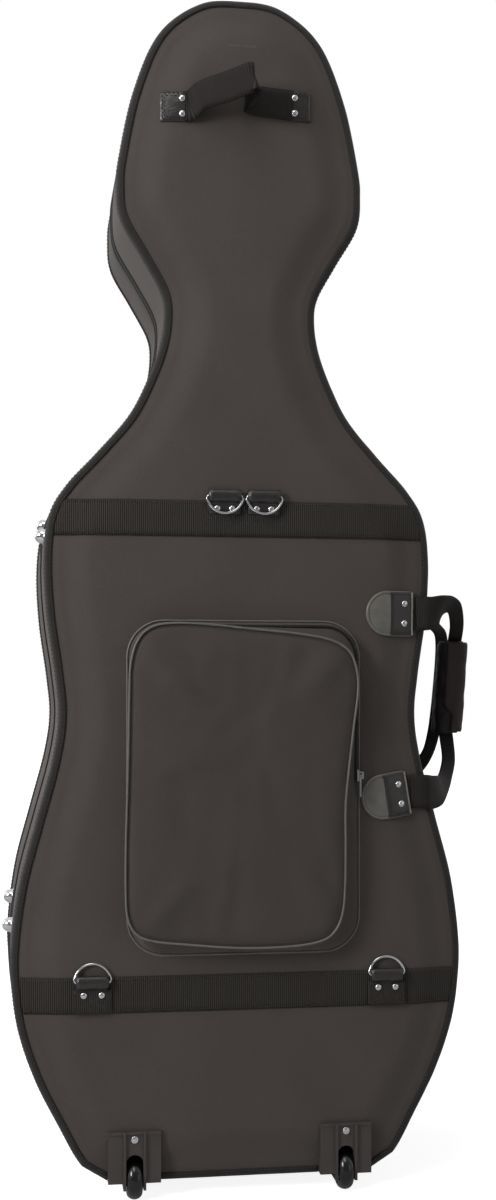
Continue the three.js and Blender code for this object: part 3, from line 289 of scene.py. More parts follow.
def aimed(points: Points, origin: Sequence[float], direction: Sequence[float]) -> Points:
    """Returns points with +Y turned onto a direction, moved to an origin."""
    turn = Vector((0, 1, 0)).rotation_difference(Vector(direction).normalized()).to_matrix()
    return points @ np.array(turn).T + np.asarray(origin, float)


def turned_object(name: str, profile: Sequence[tuple[float, float]], origin: Sequence[float],
                  direction: Sequence[float], segments: int = 48) -> Piece:
    """Makes a turned piece whose axis starts at an origin and runs along a direction."""
    points, faces = lathe(profile, segments)
    obj = make_object(name, aimed(points, origin, direction), faces)
    face_outwards(obj)
    return obj


def dome(
    radius: float, height: float, stem: float = 0.0, rim: float = 0.25, steps: int = 10
) -> list[tuple[float, float]]:
    """Returns the profile of a domed head with a small round rim."""
    profile = [
        (0.0, -stem), (radius - rim, -stem), (radius, -stem + rim)
    ] if stem else [(0.0, 0.0), (radius - rim, 0.0), (radius, rim)]
    for k in range(1, steps + 1):
        angle = k / steps * math.pi / 2
        profile.append((max(radius * math.cos(angle), 1e-4), rim + (height - rim) * math.sin(angle)))
    return profile


def unit(vectors: Points) -> Points:
    """Returns vectors scaled to length one."""
    return vectors / np.maximum(np.linalg.norm(vectors, axis=-1, keepdims=True), 1e-9)


def spline(keys: Points, steps: int, closed: bool = False) -> Points:
    """Returns points on a Catmull-Rom curve through the keys.

    Args:
        keys: Points that the curve goes through.
        steps: Points from one key to the next.
        closed: Whether the end joins the start.

    Returns:
        The points of the curve.
    """
    keys = np.asarray(keys, float)
    if closed:
        padded = np.concatenate([keys[-1:], keys, keys[:2]])
    else:
        padded = np.concatenate([2 * keys[:1] - keys[1:2], keys, 2 * keys[-1:] - keys[-2:-1]])
    spans = len(padded) - 3
    out = []
    for i in range(spans):
        p0, p1, p2, p3 = padded[i:i + 4]
        for k in range(steps):
            t = k / steps
            out.append(
                0.5
                * (
                    2 * p1 + (p2 - p0) * t + (2 * p0 - 5 * p1 + 4 * p2 - p3) * t * t
                    + (3 * p1 - p0 - 3 * p2 + p3) * t ** 3
                )
            )
    if not closed:
        out.append(padded[-2])
    return np.array(out)


def arc_lengths(path: Points) -> Points:
    """Returns the running length along a path."""
    return np.concatenate([[0.0], np.cumsum(np.linalg.norm(np.diff(path, axis=0), axis=1))])


def at_runs(path: Points, lengths: Points, runs: Points) -> Points:
    """Returns the points of a path at running lengths along it."""
    return np.stack([np.interp(runs, lengths, path[:, k]) for k in range(path.shape[1])], 1)


def resampled(path: Points, pitch: float) -> Points:
    """Returns a path's points spaced by about a pitch."""
    lengths = arc_lengths(path)
    count = max(2, int(round(lengths[-1] / pitch)) + 1)
    return at_runs(path, lengths, np.linspace(0, lengths[-1], count))


def spaced(path: Points, count: int) -> Points:
    """Returns a count of evenly spaced points on a closed path, whose last point is its first."""
    lengths = arc_lengths(path)
    return at_runs(path, lengths, np.linspace(0, lengths[-1], count, endpoint=False))


def looped(path: Points) -> Points:
    """Returns a path with its first point repeated at its end."""
    return np.concatenate([path, path[:1]])


def level_path(flat: Points, y: float) -> Points:
    """Returns a path of X and Z as points at one depth."""
    return np.stack([flat[:, 0], np.full(len(flat), y), flat[:, 1]], 1)


def facing_back(count: int) -> Points:
    """Returns normals that point away from the back panel."""
    return np.tile((0.0, -1.0, 0.0), (count, 1))


def panel_uv(grid: Points) -> Points:
    """Returns texture places from X and Z, for what lies on a panel."""
    return np.stack([grid[:, :, 0], grid[:, :, 2]], 2)


def uneven(*place: float) -> float:
    """Returns a smooth random value from -1 to 1 at a place."""
    return noise.noise(Vector(place))


def plateau(share: float, power: int) -> float:
    """Returns 1 over most of a width and 0 at both ends, at a share of the width."""
    return 1 - abs(2 * share - 1) ** power


def eased(share: float) -> float:
    """Returns a share held to 0 and 1, with soft ends."""
    share = min(1.0, max(0.0, share))
    return share * share * (3 - 2 * share)


def tube_object(name: str, path: Points, radius: float, sides: int = 10, closed: bool = False) -> Piece:
    """Makes a round tube along a path of case-frame points.

    Args:
        name: Name of the piece.
        path: Points along the line.
        radius: Radius in millimetres.
        sides: Facets round the tube.
        closed: Whether the end joins the start.

    Returns:
        The tube.
    """
    curve = bpy.data.curves.new(name, "CURVE")
    curve.dimensions = "3D"
    curve.bevel_depth = radius * MM
    curve.bevel_resolution = max(1, sides // 4)
    curve.use_fill_caps = True
    line = curve.splines.new("POLY")
    line.points.add(len(path) - 1)
    line.points.foreach_set("co", np.concatenate([to_row(path), np.ones((len(path), 1))], 1).ravel())
    line.use_cyclic_u = closed
    obj = linked(name, curve)
    bpy.context.view_layer.update()
    mesh = bpy.data.meshes.new_from_object(obj.evaluated_get(bpy.context.evaluated_depsgraph_get()))
    bpy.data.objects.remove(obj)
    mesh.polygons.foreach_set("use_smooth", [True] * len(mesh.polygons))
    return linked(name, mesh)


# Materials


def linear(hex_color: str) -> tuple[float, float, float, float]:
    """Returns an sRGB hex colour as linear RGBA."""
    values = [int(hex_color[i:i + 2], 16) / 255 for i in (1, 3, 5)]
    return (*[v / 12.92 if v <= 0.04045 else ((v + 0.055) / 1.055) ** 2.4 for v in values], 1.0)


def connect(tree: bpy.types.NodeTree, node: bpy.types.Node, inputs: dict) -> None:
    """Gives a node's inputs their values or links."""
    for key, value in inputs.items():
        socket = node.inputs[key]
        if isinstance(value, Socket):
            tree.links.new(value, socket)
        else:
            socket.default_value = value


def add_node(
    tree: bpy.types.NodeTree, kind: str, inputs: dict | None = None, **settings
) -> bpy.types.bpy_prop_collection:
    """Adds a shader node, with its settings and its input values or links.

    Args:
        tree: The material's or the world's nodes.
        kind: Blender's name for the kind of node, without its prefix.
        inputs: Value or link of each input.
        settings: Values of the node's own settings.

    Returns:
        The node's outputs.
    """
    node = tree.nodes.new(f"ShaderNode{kind}")
    for key, value in settings.items():
        setattr(node, key, value)
    connect(tree, node, inputs or {})
    return node.outputs


def new_material(name: str) -> tuple[bpy.types.Material, Callable]:
    """Makes a material and returns it with the function that adds nodes to it."""
    material = bpy.data.materials.new(name)
    material.use_nodes = True
    return material, partial(add_node, material.node_tree)


def surfaced(material: bpy.types.Material, inputs: dict, height: Socket, relief: float,
             strength: float = 1.0) -> bpy.types.Material:
    """Gives a material's surface its values and its relief, and returns the material.

    Args:
        material: The material.
        inputs: Value or link of each input of its surface shader.
        height: Height of the relief, from 0 to 1.
        relief: Depth of the relief in millimetres.
        strength: How fully the relief shows.

    Returns:
        The material.
    """
    tree = material.node_tree
    bump = {"Height": height, "Distance": relief * MM, "Strength": strength}
    normal = add_node(tree, "Bump", bump)[0]
    connect(tree, tree.nodes["Principled BSDF"], {**inputs, "Normal": normal})
    return material


def mottling(add: Callable, size: float, detail: float = 2.0) -> Socket:
    """Returns an uneven value, from 0 to 1, with features of about a size in millimetres."""
    scaled = {"Vector": add("TexCoord")["Object"], "Scale": (1 / (size * MM),) * 3}
    return add("TexNoise", {"Vector": add("Mapping", scaled)[0], "Scale": 1.0, "Detail": detail})["Fac"]


@dataclass(frozen=True)
class TwoTone:
    """A finish whose colour varies between a dark and a light tone."""

    name: str
    slot: str
    dark: str
    light: str

    def color(self, share: Socket) -> dict:
        """Returns a colour mix's inputs at a share of the way from dark to light."""
        return {"Factor": share, "A": linear(self.dark), "B": linear(self.light)}

    def threads(self, add: Callable, **pitches: float) -> list[Socket]:
        """Returns a wave from -1 to 1 for each texture axis, with its full turn in millimetres."""
        split = add("SeparateXYZ", {0: add("UVMap", uv_map=UV_NAME)[0]})
        turns = [add("Math", {0: split[axis], 1: 2 * math.pi / pitch}, operation="MULTIPLY")[0]
                 for axis, pitch in pitches.items()]
        return [add("Math", {0: turn}, operation="SINE")[0] for turn in turns]


@dataclass(frozen=True)
class WovenCloth(TwoTone):
    """Nylon cloth in a plain weave, drawn coarser than real so that it shows, with slight mottling."""

    pitch: float = 1.1
    relief: float = 0.12
    roughness: float = 0.7
    sheen: float = 0.12

    @cache
    def material(self) -> bpy.types.Material:
        """Returns the cloth's material: warp over weft, fine slubs and broad mottling."""
        material, add = new_material(self.name)
        warp, weft = self.threads(add, X=self.pitch, Y=self.pitch)
        crossing = add("Math", {0: warp, 1: weft}, operation="MULTIPLY")[0]
        weave = add("Math", {0: crossing, 1: 0.5, 2: 0.5}, operation="MULTIPLY_ADD")[0]
        slub = mottling(add, 2.5, 3.0)
        broad = add("Math", {0: mottling(add, 70.0), 1: 0.3}, operation="MULTIPLY")[0]
        height = add("Math", {0: slub, 1: 0.8, 2: weave}, operation="MULTIPLY_ADD")[0]
        shade = add("Math", {0: slub, 1: 0.35, 2: broad}, operation="MULTIPLY_ADD")[0]
        shade = add("Math", {0: weave, 1: 0.35, 2: shade}, operation="MULTIPLY_ADD")[0]
        color = add("Mix", self.color(shade), data_type="RGBA")["Result"]
        return surfaced(material, {
            "Base Color": color, "Roughness": self.roughness, "Specular IOR Level": 0.2,
            "Sheen Weight": self.sheen, "Sheen Roughness": 0.5,
        }, height, self.relief)


@dataclass(frozen=True)
class RibbedWebbing(TwoTone):
    """Woven webbing with ribs across its width."""

    pitch: float = 2.3
    relief: float = 0.5
    roughness: float = 0.6

    @cache
    def material(self) -> bpy.types.Material:
        """Returns the webbing's material: round ribs, broken by the warp threads over them, with painted shade
        in the furrows and painted highlight on the crests.
        """
        material, add = new_material(self.name)
        wave, warp = self.threads(add, X=2 * self.pitch, Y=0.8 * self.pitch)
        rib = add("Math", {0: wave}, operation="ABSOLUTE")[0]
        fibre = mottling(add, 1.6, 3.0)
        ribbed = add("Math", {0: fibre, 1: 0.3, 2: rib}, operation="MULTIPLY_ADD")[0]
        height = add("Math", {0: warp, 1: 0.12, 2: ribbed}, operation="MULTIPLY_ADD")[0]
        fuzz = add("Math", {0: fibre, 1: 0.15}, operation="MULTIPLY")[0]
        # Painted shade and highlight: the colour follows the ribs, dark in the furrows and light on the crests.
        # The fibre mottling is the webbing's own tone.
        shade = add("Math", {0: rib, 1: 0.85, 2: fuzz}, operation="MULTIPLY_ADD")[0]
        color = add("Mix", self.color(shade), data_type="RGBA")["Result"]
        return surfaced(material, {
            "Base Color": color, "Roughness": self.roughness, "Specular IOR Level": 0.12,
        }, height, self.relief)


@dataclass(frozen=True)
class Leatherette(TwoTone):
    """Coated cloth with a pressed leather grain."""

    grain: float = 1.4
    relief: float = 0.18
    roughness: float = 0.34

    @cache
    def material(self) -> bpy.types.Material:
        """Returns the leatherette's material: cell grain under a glossy coat."""
        material, add = new_material(self.name)
        cells = {"Vector": add("TexCoord")["Object"], "Scale": 1 / (self.grain * MM)}
        cells = add("TexVoronoi", cells, feature="SMOOTH_F1")["Distance"]
        crease = mottling(add, 9.0, 4.0)
        height = add("Math", {0: crease, 1: 0.8, 2: cells}, operation="MULTIPLY_ADD")[0]
        color = add("Mix", self.color(crease), data_type="RGBA")["Result"]
        return surfaced(material, {
            "Base Color": color, "Roughness": self.roughness,
            "Coat Weight": 0.15, "Coat Roughness": 0.25,
        }, height, self.relief)


@dataclass(frozen=True)
class Metal:
    """Plated or painted metal with faint handling marks."""

    name: str
    slot: str
    tone: str
    roughness: float
    metallic: float = 1.0

    @cache
    def material(self) -> bpy.types.Material:
        """Returns the metal's material: its roughness varies a little over the surface."""
        material, add = new_material(self.name)
        rough = {0: mottling(add, 3.0, 5.0), 1: self.roughness * 0.8, 2: self.roughness * 0.6}
        return surfaced(material, {
            "Base Color": linear(self.tone), "Metallic": self.metallic,
            "Roughness": add("Math", rough, operation="MULTIPLY_ADD")[0],
        }, mottling(add, 6.0, 1.0), 0.02, 0.5)


@dataclass(frozen=True)
class Moulded(TwoTone):
    """Moulded plastic or rubber with a fine surface."""

    roughness: float
    relief: float = 0.06
    grain: float = 0.7

    @cache
    def material(self) -> bpy.types.Material:
        """Returns the moulding's material: spark-eroded grain and slight scuffing."""
        material, add = new_material(self.name)
        scuff = mottling(add, 18.0, 5.0)
        rough = {0: scuff, 1: 0.25, 2: self.roughness - 0.12}
        color = add("Mix", self.color(scuff), data_type="RGBA")["Result"]
        return surfaced(material, {
            "Base Color": color,
            "Roughness": add("Math", rough, operation="MULTIPLY_ADD")[0],
        }, mottling(add, self.grain), self.relief)


@dataclass(frozen=True)
class Plush(TwoTone):
    """Velour or brushed lining with a soft nap."""

    @cache
    def material(self) -> bpy.types.Material:
        """Returns the plush's material: fine nap, brushed areas and strong sheen."""
        material, add = new_material(self.name)
        nap = mottling(add, 0.6)
        brushed = add("Math", {0: mottling(add, 35.0, 3.0), 1: 0.6}, operation="MULTIPLY")[0]
        shade = add("Math", {0: nap, 1: 0.4, 2: brushed}, operation="MULTIPLY_ADD")[0]
        color = add("Mix", self.color(shade), data_type="RGBA")["Result"]
        return surfaced(material, {
            "Base Color": color, "Roughness": 0.95,
            "Sheen Weight": 0.6, "Sheen Roughness": 0.4,
        }, nap, 0.3)


Finish = WovenCloth | RibbedWebbing | Leatherette | Metal | Moulded | Plush

# Coated oxford nylon: a dull charcoal weave, the pocket's a little lighter in weight and darker in tone.
SHELL_CLOTH = WovenCloth("shell_oxford_nylon", "nylon", "#3c3634", "#59524e")
POCKET_CLOTH = WovenCloth("pocket_oxford_nylon", "pocket_cloth", "#37322f", "#534c48")
# Grosgrain tape: nearly black, with a firm ribbed feel.
TAPE_CLOTH = WovenCloth(
    "edge_grosgrain_tape", "edge_tape", "#151312", "#312d2b", pitch=0.9, relief=0.3, roughness=0.5
)
ZIP_CLOTH = WovenCloth("zip_tape_weave", "zip_tape", "#161515", "#232120", pitch=0.7)
# Grip cloth: black with a satin sheen. The flap's lighter, browner copy is painted light on the grip's lit
# right part.
WRAP_CLOTH = WovenCloth("grip_wrap_cloth", "wrap_cloth", "#161314", "#2a2524", roughness=0.5)
PAINTED_LIGHT_FLAP_CLOTH = WovenCloth("grip_flap_painted_light", "wrap_cloth", "#2a2122", "#443737", roughness=0.5)
# Polypropylene webbing, wide on the bands and fine on the straps: its black furrows and paler rib crests are
# painted shade and painted highlight.
BAND_WEBBING = RibbedWebbing("wide_rib_webbing_painted_shade", "webbing", "#040404", "#433f3b")
WEBBING = RibbedWebbing("polypropylene_webbing_painted_shade", "webbing", "#0d0c0c", "#34302e", pitch=1.9, relief=0.45)
# Pressed vinyl: a soft gloss over a leather grain. Its pale copies for the handle tabs, the pocket piping and
# the tab welt are painted highlight.
LEATHERETTE = Leatherette("pressed_leatherette", "leatherette", "#161413", "#2b2826", relief=0.3)
HIGHLIGHT_PAINTED_LEATHERETTE = Leatherette("leatherette_painted_highlight", "leatherette", "#5a5752", "#74716b", 2.4, 0.1, 0.36)
PIPING = Leatherette("pocket_piping_painted_highlight", "pocket_cloth", "#57544f", "#73706a", 0.9, 0.08, 0.4)
WELT = Leatherette("tab_welt_painted_highlight", "leatherette", "#6f6c66", "#98948b", 1.1, 0.12, 0.35)
THREAD = WovenCloth("bonded_thread", "edge_tape", "#1f1d1c", "#4a4643", pitch=0.5, roughness=0.5)
ZIP_TEETH = Moulded("zip_coil_nylon", "zip_tape", "#141313", "#242322", 0.35)
# Plated steel: bright chrome, matt black zinc and bright zinc.
CHROME = Metal("nickel_chrome_plate", "chrome", "#c9c9cb", 0.12)
BLACK_METAL = Metal("black_zinc_plate", "black_metal", "#2c2b2b", 0.32, 0.8)
SILVER_METAL = Metal("bright_zinc_plate", "black_metal", "#b9b9bb", 0.22)
# Moulded nylon is dull and brown-grey, and cast polyurethane is glossy and black.
PLASTIC = Moulded("moulded_nylon_plastic", "moulded_plastic", "#373230", "#453f3c", 0.55)
RUBBER = Moulded("wheel_polyurethane", "wheel_rubber", "#080808", "#10100f", 0.14, relief=0.01)
# Brushed velour: soft, dark and without gloss.
VELOUR = Plush("lining_velour", "velour", "#1f1d1d", "#37322f")
PADDING = Plush("padding_velour", "foam", "#1b1919", "#332e2c")


def settle(obj: Piece, finish: Finish, body: str, *nodes: str) -> Piece:
    """Gives a piece its finish, and puts it on its body in place of CAD nodes.

    Args:
        obj: The piece.
        finish: Its finish.
        body: Name of the body that it rides on.
        nodes: CAD nodes that it stands for.

    Returns:
        The piece.
    """
    obj.data.materials.clear()
    obj.data.materials.append(finish.material())
    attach(obj, body.value if isinstance(body, Body) else body)
    if nodes:
        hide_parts(*nodes)
    return obj


def dress_node(node: str, finish: Finish, bevel: float = 0.0) -> Piece:
    """Keeps a CAD node, with its finish and rounded edges.

    Args:
        node: CAD node that it stands for.
        finish: Finish of the piece.
        bevel: Radius of its edges.

    Returns:
        The node's object.
    """
    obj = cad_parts[node]
    obj.data.materials.clear()
    obj.data.materials.append(finish.material())
    if bevel:
        modifier = obj.modifiers.new("rounded_edges", "BEVEL")
        modifier.width = bevel * MM
        modifier.segments = 2
        modifier.limit_method = "ANGLE"
        modifier.angle_limit = math.radians(40)
        modifier.harden_normals = False
    return obj


# Outline and panels


@dataclass(frozen=True)
class Outline:
    """The case's outline, dense, with inward directions: right side down, along the bottom, left side up."""

    case_height: float = 1308.0
    half_width: float = 251.0
    base_height: float = DATUM.base_height
    pitch: float = 5.0
    columns: int = 28
    blend: float = 47.0
    fine_blend: float = 5.0
    flare_foot: float = 0.08
    flare_start: float = 0.60
    flare_end: float = 0.68
    corner_share: float = 0.578
    shares: tuple[tuple[float, float], ...] = (
        (0.000, 1.0000), (0.179, 0.9954), (0.355, 0.9687), (0.466, 0.9197), (0.530, 0.8639), (0.542, 0.8394),
        (0.526, 0.8119), (0.430, 0.7798), (0.347, 0.7508), (0.331, 0.7301), (0.351, 0.7034), (0.410, 0.6728),
        (0.490, 0.6437), (0.629, 0.6124), (0.757, 0.5856), (0.833, 0.5604), (0.857, 0.5237), (0.845, 0.4778),
        (0.809, 0.4281), (0.793, 0.3914), (0.821, 0.3532), (0.892, 0.3020), (0.960, 0.2523), (0.996, 0.2034),
        (0.998, 0.1697), (0.968, 0.1284), (0.896, 0.0872), (0.801, 0.0505), (0.693, 0.0138),
    )

    @cache
    def right(self) -> Points:
        """Returns the right half from the top to the bottom corner."""
        keys = np.array([
            (w * self.half_width, self.base_height + h * self.case_height) for w, h in self.shares
        ])
        mirrored = np.array([[-keys[1, 0], keys[1, 1]]])
        corner = np.array([self.corner_share * self.half_width, self.base_height])
        padded = np.concatenate([mirrored, keys, corner[None]])
        run = []
        for p0, p1, p2, p3 in zip(padded, padded[1:], padded[2:], padded[3:]):
            steps = max(2, int(np.linalg.norm(p2 - p1) / self.pitch))
            for k in range(steps):
                t = k / steps
                v0, v1 = (p2 - p0) / 2, (p3 - p1) / 2
                run.append(
                    (2 * p1 - 2 * p2 + v0 + v1) * t ** 3 + (3 * p2 - 3 * p1 - 2 * v0 - v1) * t ** 2 + v0 * t
                    + p1
                )
        steps = max(2, int(np.linalg.norm(corner - keys[-1]) / self.pitch))
        run += [keys[-1] + (corner - keys[-1]) * k / steps for k in range(steps + 1)]
        run = np.array(run)
        run[0, 0] = 0.0
        return run

    @property
    def rungs(self) -> int:
        """Returns the index of the right bottom corner."""
        return len(self.right()) - 1

    @cache
    def points(self) -> Points:
        """Returns the whole closed outline, as X and Z."""
        right = self.right()
        corner = right[-1, 0]
        base = np.array([
            (corner - 2 * corner * k / self.columns, self.base_height) for k in range(1, self.columns)
        ])
        return np.concatenate([right, base, right[:0:-1] * (-1, 1)])

    def inward(self, spread: float) -> Points:
        """Returns inward unit directions, averaged over a spread along the outline.

        Args:
            spread: Length over which they are averaged.

        Returns:
            One direction for each point.
        """
        points = self.points()
        step = np.roll(points, -1, axis=0) - points
        length = np.linalg.norm(step, axis=1)
        normal = np.stack([-step[:, 1], step[:, 0]], 1) / -length[:, None]
        starts = np.concatenate([[0.0], np.cumsum(length)[:-1]])
        total = length.sum()
        apart = np.abs(starts[:, None] - (starts + length / 2)[None, :])
        apart = np.minimum(apart, total - apart) / spread
        return unit((np.exp(-apart ** 2 / 2) * length[None, :]) @ normal)

    @cache
    def directions(self) -> tuple[Points, Points]:
        """Returns the fine and the broad inward directions."""
        return self.inward(self.fine_blend), self.inward(self.blend)

    def wall_normals(self) -> Points:
        """Returns the walls' outward normals."""
        return level_path(-self.directions()[0], 0.0)

    @cache
    def flare(self) -> Points:
        """Returns how much of the flare each point has."""
        share = (self.points()[:, 1] - self.base_height) / self.case_height
        foot = np.clip(share / self.flare_foot, 0, 1)
        fade = np.clip((share - self.flare_start) / (self.flare_end - self.flare_start), 0, 1)
        return foot ** 2 * (3 - 2 * foot) * (1 - fade ** 2 * (3 - 2 * fade))

    @cache
    def run(self) -> Points:
        """Returns the running length along the outline at each point."""
        points = self.points()
        return arc_lengths(looped(points))[:-1]

    def inset(self, distance: InsetLike, margin: float = 14.0) -> Points:
        """Returns the outline moved inwards by a distance."""
        distance = np.broadcast_to(np.asarray(distance, float), len(self.points()))
        fine, broad = self.directions()
        near = np.minimum(distance, margin)[:, None]
        far = np.maximum(distance - margin, 0)[:, None]
        return self.points() + fine * near + broad * far


OUTLINE = Outline()


@dataclass(frozen=True)
class Panel:
    """One shell's outer form, by inset from the panel's edge and depth behind its edge plane."""

    side: Side
    margin_rise: float
    field_rise: float
    flare_at_edge: float
    flare_at_parting: float = 4.0
    edge_round: float = 5.0
    margin: float = 14.0
    field: float = 54.0
    lid_depth_base: float = 123.0
    lid_depth_top: float = 84.0
    crown: float = 1.8
    full_crown_width: float = 260.0
    crown_foot: float = 150.0

    @cache
    def edge_depth(self) -> Points:
        """Returns the depth of the panel's edge plane at each outline point."""
        share = (OUTLINE.points()[:, 1] - OUTLINE.base_height) / OUTLINE.case_height
        lid = DATUM.parting + self.lid_depth_base + (self.lid_depth_top - self.lid_depth_base) * share
        return lid if self.side is Side.LID else np.zeros(len(share))

    @property
    def sign(self) -> float:
        """Returns the direction in which the panel stands out along Y."""
        return 1.0 if self.side is Side.LID else -1.0

    def wall_height(self) -> Points:
        """Returns how far the wall runs from the panel's edge plane to the parting gap."""
        return np.abs(DATUM.parting + self.sign * DATUM.parting_gap / 2 - self.edge_depth())

    def ring(self, inset: InsetLike, behind: InsetLike) -> Points:
        """Returns a ring of points round the case.

        Args:
            inset: Distance inwards from the wall, negative outside it.
            behind: Distance behind the edge plane, negative where the panel stands out.

        Returns:
            The ring's points.
        """
        behind = np.broadcast_to(np.asarray(behind, float), len(OUTLINE.points()))
        reach = np.abs(DATUM.parting - self.edge_depth()) - self.edge_round
        share = np.clip((behind - self.edge_round) / reach, 0, None)
        flare = self.flare_at_edge + (self.flare_at_parting - self.flare_at_edge) * share
        moved = OUTLINE.inset(inset - flare * OUTLINE.flare())
        depth = self.edge_depth() - self.sign * behind
        return np.stack([moved[:, 0], depth, moved[:, 1]], 1)

    def rise(self, share: float) -> float:
        """Returns how far the slope from margin to field stands out, at a share of its way."""
        soft = share * share * (3 - 2 * share)
        return self.margin_rise + (self.field_rise - self.margin_rise) * (0.15 * share + 0.85 * soft)

    def panel_ring(self, inset: float, grow: float = 0.0) -> Points:
        """Returns a ring on the panel at an inset, offset by a distance."""
        if inset <= self.margin:
            share = max(0.0, (inset - self.edge_round) / (self.margin - self.edge_round))
            return self.ring(inset, -self.margin_rise * share ** 1.5 - grow)
        share = (inset - self.margin) / (self.field - self.margin)
        widened = inset + self.flare_at_edge * OUTLINE.flare() * share
        return self.ring(widened, -self.rise(share) - grow)

    def outer_rings(self, grow: float = 0.0, wall_steps: int = 12, slope_steps: int = 12) -> list[Points]:
        """Returns the rings from the parting plane over the edge to the field.

        Args:
            grow: Distance outwards from the form.
            wall_steps: Number of rings on the wall.
            slope_steps: Number of steps on the slope.

        Returns:
            The rings, outermost first.
        """
        height = self.wall_height()
        rings = []
        for k in range(wall_steps):
            share = k / wall_steps
            pillow = 0.9 * math.sin(math.pi * min(1.0, share * 1.05)) if k else 0.0
            behind = height + (self.edge_round - height) * share
            rings.append(self.ring(-grow - pillow, behind))
        radius = self.edge_round + grow
        for k in range(7):
            angle = k / 6 * math.pi / 2
            rings.append(self.ring(
                self.edge_round - radius * math.cos(angle), self.edge_round - radius * math.sin(angle)
            ))
        for inset in (7.5, 10.0, 12.0):
            rings.append(self.panel_ring(inset, grow))
        for k in range(slope_steps + 1):
            inset = self.margin + (self.field - self.margin) * k / slope_steps
            rings.append(self.panel_ring(inset - grow * 0.5, grow))
        edge = rings[-1]
        edge[0, 2] = edge[:, 2].max() + 0.05
        for i in range(1, 14):
            edge[i, 2] = min(edge[i, 2], edge[i - 1, 2] - 0.02)
            edge[-i, 2] = edge[i, 2]
        return rings

    def field_grid(self, edge: Points) -> Points:
        """Returns the inner points of the field, row by row from the top, inside its edge ring.

        Args:
            edge: Last ring of the slope.

        Returns:
            The inner points.
        """
        rungs, columns = OUTLINE.rungs, OUTLINE.columns
        base = edge[rungs:rungs + columns + 1]
        bow = (base - base[0] - (base[-1] - base[0]) * (np.arange(columns + 1) / columns)[:, None])[1:-1]
        rows = []
        for i in range(1, rungs):
            right, left = edge[i], edge[-i]
            share = np.arange(1, columns)[:, None] / columns
            row = right + (left - right) * share + bow * max(0.0, 1 - (right[2] - base[0, 2]) / 60) ** 2
            fade = min(1.0, abs(right[0] - left[0]) / self.full_crown_width) ** 1.5
            fade *= eased((right[2] - edge[rungs, 2]) / self.crown_foot)
            row[:, 1] += self.sign * self.crown * fade * (4 * share * (1 - share))[:, 0] ** 0.7
            rows.append(row)
        return np.concatenate(rows)


BACK_PANEL = Panel(Side.BACK, margin_rise=1.5, field_rise=9.0, flare_at_edge=0.0)
LID_PANEL = Panel(Side.LID, margin_rise=3.0, field_rise=30.0, flare_at_edge=8.0)

# Depth of the back panel's flat field, on which pocket, bands and tabs lie.
FIELD_LEVEL = -BACK_PANEL.field_rise
# Distance of both wheels from the middle.
WHEEL_OFFSET = 118.0
# How far cutters run past what they cut.
CUT_REACH = 60.0


def field_faces(last_ring: int, first_inner: int) -> list[tuple[int, ...]]:
    """Returns the faces that fill the field, between its edge ring and its inner points.

    Args:
        last_ring: Index of the first point of the field's edge ring.
        first_inner: Index of the first inner point.

    Returns:
        Point indices of each face.
    """
    rungs, columns = OUTLINE.rungs, OUTLINE.columns
    count = len(OUTLINE.points())

    def at(row: int, column: int) -> int:
        """Returns the index of the point at a row and column of the field."""
        if row == rungs:
            return last_ring + rungs + column
        if column == 0:
            return last_ring + row
        if column == columns:
            return last_ring + count - row
        return first_inner + (row - 1) * (columns - 1) + column - 1

    faces = [(last_ring, at(1, k + 1), at(1, k)) for k in range(columns)]
    for row in range(1, rungs):
        faces += [(at(row, k), at(row, k + 1), at(row + 1, k + 1), at(row + 1, k)) for k in range(columns)]
    return faces


def ripple(points: Points, broad: float, fine: float, lock_edges: Points | None = None) -> Points:
    """Returns small offsets that make cloth uneven, in millimetres."""
    offsets = np.array([
        broad * noise.noise(Vector(p) / 95.0) + fine * noise.noise(Vector(p) / 24.0 + Vector((7.3, 1.9, 4.1)))
        for p in points
    ])
    return offsets if lock_edges is None else offsets * lock_edges


@dataclass
class ShellForm:
    """A shell as a closed body: outside skin, rim and inner face."""

    panel: Panel
    outer: float
    inner: float
    uneven: float = 0.0

    def build(self, name: str) -> Piece:
        """Builds the shell's mesh.

        Args:
            name: Name of the object.

        Returns:
            The object, with texture places by arc length on walls and by X and Z on the panel.
        """
        outside = self.panel.outer_rings(self.outer)
        inside = self.panel.outer_rings(self.inner, wall_steps=6, slope_steps=5)
        wall_out = len(outside) - 13 - 3 - 7
        outside_field = self.panel.field_grid(outside[-1])
        inside_field = self.panel.field_grid(inside[-1])
        if self.uneven:
            for k, ring in enumerate(outside):
                if k >= wall_out + 7:
                    fade = min(1.0, (k - wall_out - 6) / 8)
                    ring[:, 1] += self.panel.sign * ripple(ring, self.uneven, self.uneven * 0.35) * fade
            outside_field[:, 1] += self.panel.sign * ripple(outside_field, self.uneven, self.uneven * 0.35)
        rings = outside[::-1] + inside
        count = len(OUTLINE.points())
        first_outer_field = len(rings) * count
        first_inner_field = first_outer_field + len(outside_field)
        points = np.concatenate([*rings, outside_field, inside_field])
        faces = grid_faces(len(rings), count, closed_columns=True)
        faces += field_faces(0, first_outer_field)
        faces += [f[::-1] for f in field_faces((len(rings) - 1) * count, first_inner_field)]
        uv = points[:, (0, 2)].copy()
        run = OUTLINE.run()
        for k in range(len(rings)):
            on_wall = len(outside) - 1 - (wall_out + 3) <= k < len(outside) + 8
            if on_wall:
                rows = slice(k * count, (k + 1) * count)
                uv[rows, 0] = run
                uv[rows, 1] = points[rows, 1]
        obj = make_object(name, points, faces, uv)
        face_outwards(obj)
        return obj


